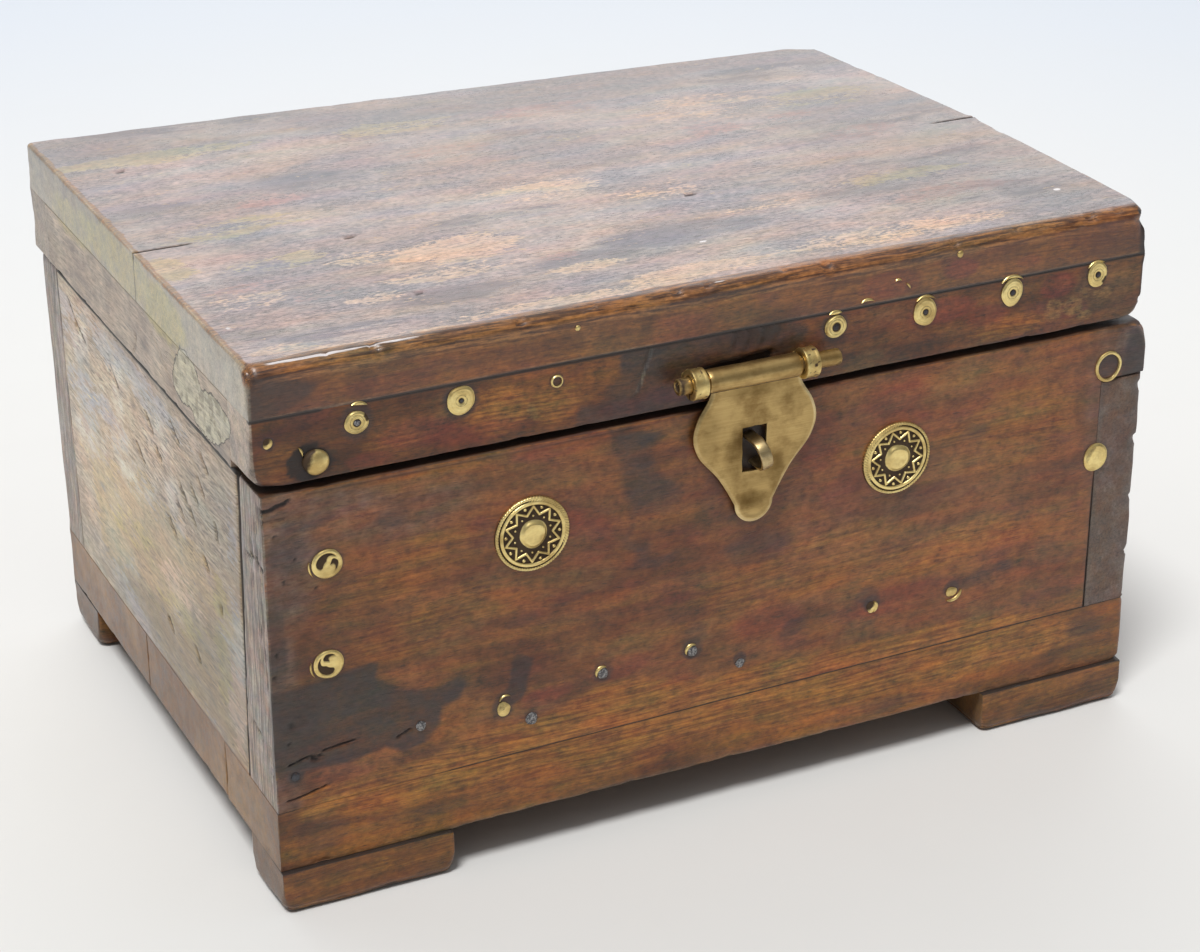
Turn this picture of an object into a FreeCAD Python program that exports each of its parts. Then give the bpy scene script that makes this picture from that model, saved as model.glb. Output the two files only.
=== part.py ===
import FreeCAD, Part
import math
import os

# A small old wooden chest: a boarded body on a planked base with four block feet, a framed lid
# hinged at the back, a brass hasp that drops over a staple, and brass and iron nails.
# Millimetres. X runs along the front from left to right, Y from front to back, Z up.
# The origin is under the middle of the whole object, on the surface it stands on.

os.makedirs("parts", exist_ok=True)

Vector = FreeCAD.Vector
X_AXIS = Vector(1, 0, 0)
Y_AXIS = Vector(0, 1, 0)
Z_AXIS = Vector(0, 0, 1)

# Body and base
body_width = 332.0
body_depth_rim = 240.0
back_lean = 5.5
rim_height = 152.3
foot_height = 16.5
base_thickness_left = 22.3
base_thickness_right = 26.0
base_front_plank_width = 52.1
base_middle_plank_width = 85.5
front_board_thickness_rim = 21.2
front_board_thickness_base = 27.4
back_board_thickness = 20.0
left_side_board_thickness = 23.0
right_side_board_thickness = 18.5
front_finger_height = 20.5
overrun = 5.0

# Feet
foot_length = 61.5
foot_depth = 31.0
foot_corner_radius = 4.0
foot_front_overhang = 1.5

# Lid
lid_left_overhang = 2.1
lid_right_shortfall = 4.1
lid_gap = 2.3
lid_rail_height = 23.3
lid_front_rail_thickness = 20.0
lid_back_rail_thickness = 20.0
lid_side_rail_thickness = 18.0
lid_plank_thickness = 17.5
lid_front_plank_width = 111.6
lid_back_left_thickness = 18.1
lid_back_right_thickness = 12.6
lid_back_right_shortfall = 4.0
lid_worn_corner_length = 12.0
lid_worn_corner_depth = 5.0
lid_arris_radius = 5.0

# Hasp, its pin and the eyes that carry it
hasp_centre_x_share = 0.5256
hasp_pin_above_lid_bottom = 10.0
hasp_pin_off_face = 5.7
hasp_pin_radius = 2.9
hasp_pin_length = 60.6
hasp_plate_thickness = 1.3
hasp_barrel_length = 34.2
hasp_barrel_shift = -2.5
hasp_plate_shift = 1.3
hasp_plate_half_width = 23.2
hasp_plate_length = 56.0
hasp_tongue_radius = 7.2
hasp_tongue_centre_drop = 49.0
hasp_slot_width = 9.1
hasp_slot_height = 16.3
hasp_slot_drop = 28.9
hasp_slot_shift = 0.8
hasp_outline_half_width_shares = (0.70, 0.745, 0.93, 1.0, 0.925, 0.58, 0.405)
hasp_outline_drop_shares = (0.0, 0.14, 0.27, 0.385, 0.50, 0.68, 0.80)
eye_width = 5.4
eye_thickness = 2.4
eye_side_gap = 0.9
eye_clinch_length = 6.0
running_clearance = 0.1

# Staple that the hasp drops over
staple_reach = 11.8
staple_height = 11.8
staple_strip_thickness = 1.5
staple_strip_width = 4.2
staple_tilt = 15.0
staple_clinch_length = 7.0
staple_below_slot_centre = 0.4

# Back hinges
hinge_x_shares = (0.22, 0.78)
hinge_leaf_width = 42.0
hinge_leaf_thickness = 1.5
hinge_pin_radius = 1.6
hinge_lid_leaf_height = 17.0
hinge_body_leaf_height = 28.0
hinge_knuckle_share = 0.36
hinge_knuckle_gap = 0.3
hinge_nail_spacing = 26.0
hinge_lid_nail_rise = 11.5
hinge_body_nail_drops = (10.0, 21.0)

# Nails: head radius, head thickness, shank radius and length of each kind
nail_point_share = 1.6
small_shank_radius = 0.9
large_shank_radius = 1.2
trim_head_thickness = 0.7
trim_nail_length = 14.0
brass_disc_radius = 4.5
brass_disc_thickness = 0.7
disc_nail_head_radius = 1.3
disc_nail_head_thickness = 0.4
dome_nail_radius = 5.0
dome_nail_height = 1.6
brass_pin_radius = 2.1
brass_pin_length = 12.0
swirl_nail_radius = 5.1
swirl_nail_length = 34.0
corner_disc_radius = 5.0
ring_outer_radius = 5.5
ring_wall = 1.2
ring_depth = 6.0
ring_stand = 0.5
iron_head_radius = 1.8
iron_head_thickness = 0.5
iron_nail_length = 24.0
hinge_nail_head_radius = 2.4
hinge_nail_head_thickness = 1.1
hinge_nail_length = 13.0
base_nail_head_radius = 2.4
base_nail_head_thickness = 1.0
base_nail_length = 34.0
foot_nail_length = 29.0
foot_nail_recess = 1.0
plank_nail_head_radius = 1.3
plank_nail_recess = 0.6
plank_nail_length = 31.0

# Roundels
roundel_radius = 13.25
roundel_thickness = 0.8
roundel_rim_width = 1.5
roundel_rim_height = 0.5
roundel_tack_radius = 4.5
roundel_tack_thickness = 0.9

# Places, as shares of the width and height of the piece that carries them
lid_disc_shares = ((0.1056, 0.735), (0.2117, 0.765), (0.6228, 0.775), (0.7282, 0.75), (0.834, 0.79),
                   (0.940, 0.81))
lid_pin_shares = ((0.0152, 0.66), (0.3126, 0.76))
lid_plank_pin_shares = ((0.335, 0.68), (0.768, 0.70))
lid_dome_share = (0.0617, 0.285)
swirl_nail_shares = ((0.0628, 0.764), (0.0598, 0.447))
ring_share = (0.9514, 0.868)
corner_disc_share = (0.9436, 0.562)
brass_pin_shares = ((0.2465, 0.1836), (0.3532, 0.2030), (0.4559, 0.2110), (0.6697, 0.2136),
                    (0.7694, 0.1915))
iron_nail_shares = ((0.2745, 0.1121), (0.5116, 0.1289), (0.0206, 0.1077), (0.1531, 0.1765))
roundel_shares = ((0.276, 0.720), (0.6908, 0.712))
base_nail_x_shares = (0.10, 0.38, 0.62, 0.90)
base_nail_y_shares = (0.32, 0.68)
plank_nail_x_shares = (0.158, 0.415, 0.676, 0.885)
plank_nail_y_shares = (0.30, 0.70)
foot_nail_shares = (0.28, 0.72)

# Worked out from the sizes above
body_depth_base = body_depth_rim - back_lean
overall_width = body_width + lid_left_overhang
body_left = -overall_width / 2 + lid_left_overhang
body_right = body_left + body_width
lid_left = -overall_width / 2
lid_right = body_right - lid_right_shortfall
lid_width = lid_right - lid_left
hinge_knuckle_radius = hinge_pin_radius + running_clearance + hinge_leaf_thickness
overall_depth = staple_reach + body_depth_rim + 2 * hinge_knuckle_radius
front_face = -overall_depth / 2 + staple_reach
back_face = front_face + body_depth_rim
base_back = front_face + body_depth_base
base_top_left = foot_height + base_thickness_left
base_top_right = foot_height + base_thickness_right
base_top_middle = (base_top_left + base_top_right) / 2
panel_height = rim_height - base_top_left
finger_bottom = rim_height - front_finger_height
lid_bottom = rim_height + lid_gap
lid_seam = lid_bottom + lid_rail_height
lid_top = lid_seam + lid_plank_thickness
plank_joint = front_face + lid_front_plank_width
hinge_axis_y = back_face + hinge_knuckle_radius
hinge_axis_z = (rim_height + lid_bottom) / 2
hasp_x = lid_left + hasp_centre_x_share * lid_width
hasp_y = front_face - hasp_pin_off_face
hasp_z = lid_bottom + hasp_pin_above_lid_bottom


def box(x0, x1, y0, y1, z0, z1):
    return Part.makeBox(x1 - x0, y1 - y0, z1 - z0, Vector(x0, y0, z0))


def face_of(corners):
    return Part.Face(Part.makePolygon(corners + [corners[0]]))


def bar_along_x(section, x0, x1):
    """A straight bar whose (y, z) section runs from x0 to x1."""
    return face_of([Vector(x0, y, z) for y, z in section]).extrude(Vector(x1 - x0, 0, 0))


def bar_along_y(section, y0, y1):
    """A straight bar whose (x, z) section runs from y0 to y1."""
    return face_of([Vector(x, y0, z) for x, z in section]).extrude(Vector(0, y1 - y0, 0))


def rod_along_x(radius, x0, x1, y, z):
    return Part.makeCylinder(radius, x1 - x0, Vector(x0, y, z), X_AXIS)


def turned(profile, place, direction):
    """A solid of revolution: (radius, distance along the axis) corners, set at a place."""
    face = face_of([Vector(radius, 0, along) for radius, along in profile])
    solid = face.revolve(Vector(0, 0, 0), Z_AXIS, 360)
    solid.Placement = FreeCAD.Placement(place, FreeCAD.Rotation(Z_AXIS, direction))
    return solid


def nail(place, direction, head_radius, head_thickness, shank_radius, length):
    """A round nail, its head's underside at the place and its point along the direction."""
    point = nail_point_share * shank_radius
    profile = [(0, -head_thickness), (head_radius, -head_thickness), (head_radius, 0),
               (shank_radius, 0), (shank_radius, length - point), (0, length)]
    return turned(profile, place, direction)


def without(solid, tools):
    return solid.cut(list(tools)) if tools else solid


def lid_place(shares):
    """A place on the front of the lid's front rail."""
    return Vector(lid_left + shares[0] * lid_width, front_face, lid_bottom + shares[1] * lid_rail_height)


def lid_plank_place(shares):
    """A place on the front edge of the lid's front plank."""
    return Vector(lid_left + shares[0] * lid_width, front_face, lid_seam + shares[1] * lid_plank_thickness)


def front_place(shares):
    """A place on the outside of the front board."""
    return Vector(body_left + shares[0] * body_width, front_face, base_top_left + shares[1] * panel_height)


def between(z, value_at_base, value_at_rim):
    """A value that changes evenly from the base's top to the rim."""
    share = (z - base_top_middle) / (rim_height - base_top_middle)
    return value_at_base + (value_at_rim - value_at_base) * share


def front_inner(z):
    return front_face + between(z, front_board_thickness_base, front_board_thickness_rim)


def back_outer(z):
    return between(z, base_back, back_face)


def back_inner(z):
    return back_outer(z) - back_board_thickness


def base_block(y0, y1, margin):
    """The base's slab between two depths, its top rising from left to right."""
    slope = (base_top_right - base_top_left) / body_width
    low = base_top_left - slope * margin
    high = base_top_right + slope * margin
    section = [(body_left - margin, foot_height), (body_right + margin, foot_height),
               (body_right + margin, high), (body_left - margin, low)]
    return bar_along_y(section, y0, y1)


def lid_back_corners():
    """The top corners of the lid's back plank: joint left, joint right, back right, back left."""
    return [Vector(lid_left, plank_joint, lid_top), Vector(lid_right, plank_joint, lid_top),
            Vector(lid_right, back_face - lid_back_right_shortfall, lid_seam + lid_back_right_thickness),
            Vector(lid_left, back_face, lid_seam + lid_back_left_thickness)]


def lid_top_at(x, y):
    """Height of the lid's top face: level at the front, two flat slopes on the back plank."""
    if y <= plank_joint:
        return lid_top
    joint_left, joint_right, back_right, back_left = lid_back_corners()
    diagonal = back_right - joint_left
    past_diagonal = (y - plank_joint) * diagonal.x > (x - lid_left) * diagonal.y
    third = back_left if past_diagonal else joint_right
    normal = diagonal.cross(third - joint_left)
    return lid_top - (normal.x * (x - lid_left) + normal.y * (y - plank_joint)) / normal.z


# Nails and trim on the front
def lid_discs():
    """Thin brass discs on the lid's front rail, each with a hole for its iron nail."""
    discs = []
    for shares in lid_disc_shares:
        profile = [(small_shank_radius, 0), (brass_disc_radius, 0),
                   (brass_disc_radius, brass_disc_thickness), (small_shank_radius, brass_disc_thickness)]
        discs.append(turned(profile, lid_place(shares), -Y_AXIS))
    return discs


def lid_disc_nails():
    nails = []
    for shares in lid_disc_shares:
        place = lid_place(shares) - Y_AXIS * brass_disc_thickness
        nails.append(nail(place, Y_AXIS, disc_nail_head_radius, disc_nail_head_thickness,
                          small_shank_radius, trim_nail_length))
    return nails


def lid_brass_pins():
    places = [lid_place(shares) for shares in lid_pin_shares]
    places += [lid_plank_place(shares) for shares in lid_plank_pin_shares]
    return [nail(place, Y_AXIS, brass_pin_radius, trim_head_thickness, small_shank_radius, brass_pin_length)
            for place in places]


def lid_dome_nail():
    place = lid_place(lid_dome_share)
    shank = nail(place, Y_AXIS, dome_nail_radius, trim_head_thickness,
                 large_shank_radius, trim_nail_length)
    ball_radius = (dome_nail_radius ** 2 + dome_nail_height ** 2) / (2 * dome_nail_height)
    ball = Part.makeSphere(ball_radius, place + Y_AXIS * (ball_radius - dome_nail_height - trim_head_thickness))
    reach = dome_nail_radius + dome_nail_height
    keep = box(place.x - reach, place.x + reach, place.y - reach, place.y - trim_head_thickness,
               place.z - reach, place.z + reach)
    return [shank.fuse(ball.common(keep)).removeSplitter()]


def front_swirl_nails():
    return [nail(front_place(shares), Y_AXIS, swirl_nail_radius, trim_head_thickness,
                 large_shank_radius, swirl_nail_length) for shares in swirl_nail_shares]


def front_ring():
    """A short brass tube driven into the front board, which keeps its wooden core."""
    inner = ring_outer_radius - ring_wall
    profile = [(inner, -ring_depth), (ring_outer_radius, -ring_depth),
               (ring_outer_radius, ring_stand), (inner, ring_stand)]
    return [turned(profile, front_place(ring_share), -Y_AXIS)]


def front_corner_disc():
    return [nail(front_place(corner_disc_share), Y_AXIS, corner_disc_radius, trim_head_thickness,
                 large_shank_radius, trim_nail_length)]


def front_brass_pins():
    return [nail(front_place(shares), Y_AXIS, brass_pin_radius, trim_head_thickness,
                 small_shank_radius, brass_pin_length) for shares in brass_pin_shares]


def front_iron_nails():
    return [nail(front_place(shares), Y_AXIS, iron_head_radius, iron_head_thickness,
                 small_shank_radius, iron_nail_length) for shares in iron_nail_shares]


def roundel(shares):
    """A brass roundel with a raised rim and a hole for its tack."""
    rim = roundel_radius - roundel_rim_width
    profile = [(large_shank_radius, 0), (roundel_radius, 0),
               (roundel_radius, roundel_thickness + roundel_rim_height),
               (rim, roundel_thickness + roundel_rim_height), (rim, roundel_thickness),
               (large_shank_radius, roundel_thickness)]
    return turned(profile, front_place(shares), -Y_AXIS)


def roundel_tacks():
    return [nail(front_place(shares) - Y_AXIS * roundel_thickness, Y_AXIS, roundel_tack_radius,
                 roundel_tack_thickness, large_shank_radius, trim_nail_length) for shares in roundel_shares]


# Hidden nails
def base_nails():
    """Nails driven up through the base into the four walls."""
    front_y = front_face + front_board_thickness_base / 2
    back_y = base_back - back_board_thickness / 2
    left_x = body_left + left_side_board_thickness / 2
    right_x = body_right - right_side_board_thickness / 2
    spots = []
    for share in base_nail_x_shares:
        x = body_left + share * body_width
        spots += [(x, front_y), (x, back_y)]
    for share in base_nail_y_shares:
        y = front_face + share * body_depth_base
        spots += [(left_x, y), (right_x, y)]
    return [nail(Vector(x, y, foot_height), Z_AXIS, base_nail_head_radius, base_nail_head_thickness,
                 large_shank_radius, base_nail_length) for x, y in spots]


def foot_corner(side, end):
    """Low x and low y of a foot; side is left or right, end is front or back."""
    x = body_left if side == "left" else body_right - foot_length
    y = front_face - foot_front_overhang if end == "front" else base_back - foot_depth
    return x, y


def foot_nails():
    nails = []
    for side in ("left", "right"):
        for end in ("front", "back"):
            x, y = foot_corner(side, end)
            for share in foot_nail_shares:
                place = Vector(x + share * foot_length, y + foot_depth / 2,
                               foot_nail_recess + base_nail_head_thickness)
                nails.append(nail(place, Z_AXIS, base_nail_head_radius, base_nail_head_thickness,
                                  large_shank_radius, foot_nail_length))
    return nails


def plank_nail_spots():
    front_y = front_face + lid_front_rail_thickness / 2
    back_y = back_face - lid_back_rail_thickness / 2
    left_x = lid_left + lid_side_rail_thickness / 2
    right_x = lid_right - lid_side_rail_thickness / 2
    spots = []
    for share in plank_nail_x_shares:
        x = lid_left + share * lid_width
        spots += [(x, front_y), (x, back_y)]
    for share in plank_nail_y_shares:
        y = front_face + share * body_depth_rim
        spots += [(left_x, y), (right_x, y)]
    return spots


def lid_plank_nails():
    """Brads driven down through the lid's planks into its rails, their heads punched in."""
    nails = []
    for x, y in plank_nail_spots():
        place = Vector(x, y, lid_top_at(x, y) - plank_nail_recess - iron_head_thickness)
        nails.append(nail(place, -Z_AXIS, plank_nail_head_radius, iron_head_thickness,
                          small_shank_radius, plank_nail_length))
    return nails


def plank_nail_sinkings():
    return [Part.makeCylinder(plank_nail_head_radius, overrun,
                              Vector(x, y, lid_top_at(x, y) - plank_nail_recess))
            for x, y in plank_nail_spots()]


# Hinges
def hinge_centres():
    return [body_left + share * body_width for share in hinge_x_shares]


def hinge_leaf_nails(spots):
    return [nail(Vector(x, y, z), -Y_AXIS, hinge_nail_head_radius, hinge_nail_head_thickness,
                 large_shank_radius, hinge_nail_length) for x, y, z in spots]


def hinge_lid_nails():
    z = hinge_axis_z + hinge_lid_nail_rise
    y = back_face + hinge_leaf_thickness
    return hinge_leaf_nails([(x + side * hinge_nail_spacing / 2, y, z)
                             for x in hinge_centres() for side in (-1, 1)])


def hinge_body_nails():
    spots = []
    for x in hinge_centres():
        for drop, sides in zip(hinge_body_nail_drops, ((-1, 1), (0,))):
            z = hinge_axis_z - drop
            y = back_outer(z) + hinge_leaf_thickness
            spots += [(x + side * hinge_nail_spacing / 2, y, z) for side in sides]
    return hinge_leaf_nails(spots)


def knuckle(x0, x1):
    outer = rod_along_x(hinge_knuckle_radius, x0, x1, hinge_axis_y, hinge_axis_z)
    return outer.fuse(box(x0, x1, back_face, back_face + hinge_leaf_thickness,
                          hinge_axis_z - hinge_knuckle_radius, hinge_axis_z + hinge_knuckle_radius))


def hinge_spans(x):
    """The middle knuckle's ends, and the leaf's ends."""
    half_leaf = hinge_leaf_width / 2
    half_middle = hinge_knuckle_share * half_leaf
    return x - half_leaf, x - half_middle, x + half_middle, x + half_leaf


def hinge_lid_leaf(x):
    low, middle_low, middle_high, high = hinge_spans(x)
    clear = hinge_knuckle_radius + hinge_knuckle_gap
    plate = box(low, high, back_face, back_face + hinge_leaf_thickness,
                hinge_axis_z + clear, hinge_axis_z + hinge_lid_leaf_height)
    neck = box(middle_low, middle_high, back_face, back_face + hinge_leaf_thickness,
               hinge_axis_z, hinge_axis_z + hinge_lid_leaf_height)
    barrel = rod_along_x(hinge_knuckle_radius, middle_low, middle_high, hinge_axis_y, hinge_axis_z)
    bore = rod_along_x(hinge_pin_radius + running_clearance, low, high, hinge_axis_y, hinge_axis_z)
    return without(plate.fuse([neck, barrel]).cut(bore), hinge_lid_nails())


def hinge_body_leaf(x):
    low, middle_low, middle_high, high = hinge_spans(x)
    clear = hinge_knuckle_radius + hinge_knuckle_gap
    bottom = hinge_axis_z - hinge_body_leaf_height

    def plate(x0, x1, top):
        section = [(back_outer(bottom), bottom), (back_outer(bottom) + hinge_leaf_thickness, bottom),
                   (back_outer(top) + hinge_leaf_thickness, top), (back_outer(top), top)]
        return bar_along_x(section, x0, x1)

    pieces = [plate(low, high, hinge_axis_z - clear)]
    for x0, x1 in ((low, middle_low - hinge_knuckle_gap), (middle_high + hinge_knuckle_gap, high)):
        pieces.append(plate(x0, x1, hinge_axis_z))
        pieces.append(rod_along_x(hinge_knuckle_radius, x0, x1, hinge_axis_y, hinge_axis_z))
    bore = rod_along_x(hinge_pin_radius, low, high, hinge_axis_y, hinge_axis_z)
    return without(pieces[0].fuse(pieces[1:]).cut(bore), hinge_body_nails())


def hinge_pin(x):
    low, _, _, high = hinge_spans(x)
    return rod_along_x(hinge_pin_radius, low, high, hinge_axis_y, hinge_axis_z)


# Hasp
def eye_centres():
    """X of the two eyes, one past each end of the hasp's barrel."""
    middle = hasp_x + hasp_barrel_shift
    reach = hasp_barrel_length / 2 + eye_side_gap + eye_width / 2
    return middle - reach, middle + reach


def hasp_eye(x):
    """A forged eye round the pin, its tang through the lid's front rail and clinched inside."""
    inner = hasp_pin_radius + running_clearance
    outer = inner + eye_thickness
    x0, x1 = x - eye_width / 2, x + eye_width / 2
    inside = front_face + lid_front_rail_thickness
    ring = rod_along_x(outer, x0, x1, hasp_y, hasp_z)
    tang = box(x0, x1, hasp_y, inside + eye_thickness, hasp_z - eye_thickness, hasp_z + eye_thickness)
    clinch = box(x0, x1, inside, inside + eye_thickness,
                 hasp_z - eye_thickness - eye_clinch_length, hasp_z + eye_thickness + eye_clinch_length)
    hole = rod_along_x(inner, x0 - overrun, x1 + overrun, hasp_y, hasp_z)
    return ring.fuse([tang, clinch]).cut(hole).removeSplitter()


def hasp_plate():
    """The plate hangs from a barrel rolled round the pin and narrows to a round tongue."""
    middle = hasp_x + hasp_plate_shift
    back = hasp_y + hasp_pin_radius + hasp_plate_thickness
    front = back - hasp_plate_thickness

    def at(side, half_width, drop):
        return Vector(middle + side * half_width, front, hasp_z - drop)

    def flank(side):
        shares = zip(hasp_outline_half_width_shares, hasp_outline_drop_shares)
        points = [at(side, half_share * hasp_plate_half_width, drop_share * hasp_plate_length)
                  for half_share, drop_share in shares]
        points.append(at(side, hasp_tongue_radius, hasp_tongue_centre_drop))
        curve = Part.BSplineCurve()
        curve.interpolate(points)
        return curve.toShape()

    tongue = Part.Arc(at(-1, hasp_tongue_radius, hasp_tongue_centre_drop), at(0, 0, hasp_plate_length),
                      at(1, hasp_tongue_radius, hasp_tongue_centre_drop)).toShape()
    half_top = hasp_outline_half_width_shares[0] * hasp_plate_half_width
    top = Part.makeLine(at(-1, half_top, 0), at(1, half_top, 0))
    outline = Part.Wire(Part.__sortEdges__([flank(-1), tongue, flank(1), top]))
    plate = Part.Face(outline).extrude(Vector(0, hasp_plate_thickness, 0))
    barrel_low = hasp_x + hasp_barrel_shift - hasp_barrel_length / 2
    barrel_high = barrel_low + hasp_barrel_length
    barrel = rod_along_x(hasp_pin_radius + hasp_plate_thickness, barrel_low, barrel_high, hasp_y, hasp_z)
    bore = rod_along_x(hasp_pin_radius, barrel_low - overrun, barrel_high + overrun, hasp_y, hasp_z)
    slot_x = hasp_x + hasp_slot_shift
    slot_z = hasp_z - hasp_slot_drop
    slot = box(slot_x - hasp_slot_width / 2, slot_x + hasp_slot_width / 2, front - overrun, back + overrun,
               slot_z - hasp_slot_height / 2, slot_z + hasp_slot_height / 2)
    clear = hasp_pin_radius + running_clearance + eye_thickness + eye_side_gap
    shoulders = [box(low, high, front - overrun, back + overrun, hasp_z - clear, hasp_z + overrun)
                 for low, high in ((barrel_low - hasp_plate_half_width, barrel_low),
                                   (barrel_high, barrel_high + hasp_plate_half_width))]
    return plate.cut(shoulders).fuse(barrel).cut([bore, slot]).removeSplitter()


def hasp_pin():
    return rod_along_x(hasp_pin_radius, hasp_x - hasp_pin_length / 2, hasp_x + hasp_pin_length / 2,
                       hasp_y, hasp_z)


def lock_staple():
    """A loop of flat strip through the front board, its legs clinched inside, leaning a little."""
    x = hasp_x + hasp_slot_shift
    z = hasp_z - hasp_slot_drop - staple_below_slot_centre
    x0, x1 = x - staple_strip_width / 2, x + staple_strip_width / 2
    outer = staple_height / 2
    inner = outer - staple_strip_thickness
    nose = front_face - staple_reach + outer
    inside = front_inner(z)
    past = inside + staple_strip_thickness

    def slab(half_height, y0, y1, low, high):
        return box(low, high, y0, y1, z - half_height, z + half_height)

    def clinch(side):
        low, high = z + side * inner, z + side * (outer + staple_clinch_length)
        section = [(front_inner(low), low), (front_inner(high), high),
                   (front_inner(high) + staple_strip_thickness, high),
                   (front_inner(low) + staple_strip_thickness, low)]
        return bar_along_x(section, x0, x1)

    loop = rod_along_x(outer, x0, x1, nose, z).fuse([slab(outer, nose, past, x0, x1)])
    hollow = rod_along_x(inner, x0 - overrun, x1 + overrun, nose, z)
    hollow = hollow.fuse(slab(inner, nose, past + overrun, x0 - overrun, x1 + overrun))
    staple = loop.cut(hollow).fuse([clinch(-1), clinch(1)]).removeSplitter()
    staple.rotate(Vector(x, nose, z), Y_AXIS, -staple_tilt)
    return staple


# Wood
def front_board(tools):
    section = [(front_face, foot_height), (front_inner(foot_height), foot_height),
               (front_inner(rim_height), rim_height), (front_face, rim_height)]
    board = bar_along_x(section, body_left, body_right)
    notch = box(body_right - right_side_board_thickness, body_right + overrun, front_face - overrun,
                front_inner(foot_height) + overrun, foot_height - overrun, finger_bottom)
    base = base_block(front_face - overrun, front_inner(foot_height) + overrun, overrun)
    return without(board.cut([notch, base]), tools)


def back_board(tools):
    section = [(back_inner(foot_height), foot_height), (back_outer(foot_height), foot_height),
               (back_outer(rim_height), rim_height), (back_inner(rim_height), rim_height)]
    board = bar_along_x(section, body_left, body_right)
    base = base_block(back_inner(foot_height) - overrun, back_face + overrun, overrun)
    return without(board.cut(base), tools)


def side_section(front_edge):
    """A side board's (y, z) outline; front_edge lists its front corners from the bottom up."""
    return front_edge + [(back_inner(rim_height), rim_height), (back_inner(foot_height), foot_height)]


def left_side_board(tools):
    front_edge = [(front_inner(foot_height), foot_height), (front_inner(rim_height), rim_height)]
    board = bar_along_x(side_section(front_edge), body_left, body_left + left_side_board_thickness)
    return without(board.cut(base_block(front_face - overrun, back_face + overrun, overrun)), tools)


def right_side_board(tools):
    """This board's end shows at the front, below the front board's finger."""
    front_edge = [(front_face, foot_height), (front_face, finger_bottom),
                  (front_inner(finger_bottom), finger_bottom), (front_inner(rim_height), rim_height)]
    board = bar_along_x(side_section(front_edge), body_right - right_side_board_thickness, body_right)
    return without(board.cut(base_block(front_face - overrun, back_face + overrun, overrun)), tools)


def base_plank(y0, y1, tools):
    return without(base_block(y0, y1, 0), tools)


def foot(side, end, tools):
    """A block foot with its lower edges rounded along its length."""
    x, y = foot_corner(side, end)
    block = box(x, x + foot_length, y, y + foot_depth, 0, foot_height)
    lower = [edge for edge in block.Edges
             if edge.BoundBox.ZMax < foot_corner_radius and edge.BoundBox.YLength > foot_depth / 2]
    block = block.makeFillet(min(foot_corner_radius, foot_height / 3), lower)
    recesses = [Part.makeCylinder(base_nail_head_radius, foot_nail_recess,
                                  Vector(x + share * foot_length, y + foot_depth / 2, 0))
                for share in foot_nail_shares]
    return without(block, recesses + list(tools))


def lid_rail(x0, x1, y0, y1, tools):
    return without(box(x0, x1, y0, y1, lid_bottom, lid_seam), tools)


def lid_front_plank(tools):
    radius = min(lid_arris_radius, lid_plank_thickness / 2)
    lean = radius * (1 - math.sqrt(0.5))
    corners = [(front_face + radius, lid_top), (plank_joint, lid_top), (plank_joint, lid_seam),
               (front_face, lid_seam), (front_face, lid_top - radius)]
    points = [Vector(lid_left, y, z) for y, z in corners]
    edges = [Part.makeLine(start, end) for start, end in zip(points, points[1:])]
    middle = Vector(lid_left, front_face + lean, lid_top - lean)
    edges.append(Part.Arc(points[-1], middle, points[0]).toShape())
    plank = Part.Face(Part.Wire(edges)).extrude(Vector(lid_width, 0, 0))
    return without(plank, tools)


def lid_back_plank(tools):
    """The back plank, thinner and a little short at its right end, with a worn back corner."""
    top = lid_back_corners()
    under = [Vector(corner.x, corner.y, lid_seam) for corner in top]
    sides = [[under[i], under[(i + 1) % 4], top[(i + 1) % 4], top[i]] for i in range(4)]
    slopes = [[top[0], top[1], top[2]], [top[0], top[2], top[3]]]
    plank = Part.makeSolid(Part.makeShell([face_of(corners) for corners in sides + slopes + [under]]))
    back = back_face - lid_back_right_shortfall
    corner = [Vector(lid_right - lid_worn_corner_length, back + overrun, lid_seam - overrun),
              Vector(lid_right - lid_worn_corner_length, back, lid_seam - overrun),
              Vector(lid_right, back - lid_worn_corner_depth, lid_seam - overrun),
              Vector(lid_right + overrun, back - lid_worn_corner_depth, lid_seam - overrun),
              Vector(lid_right + overrun, back + overrun, lid_seam - overrun)]
    wear = face_of(corner).extrude(Z_AXIS * (lid_plank_thickness + 2 * overrun))
    return without(plank.cut(wear), tools)


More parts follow.
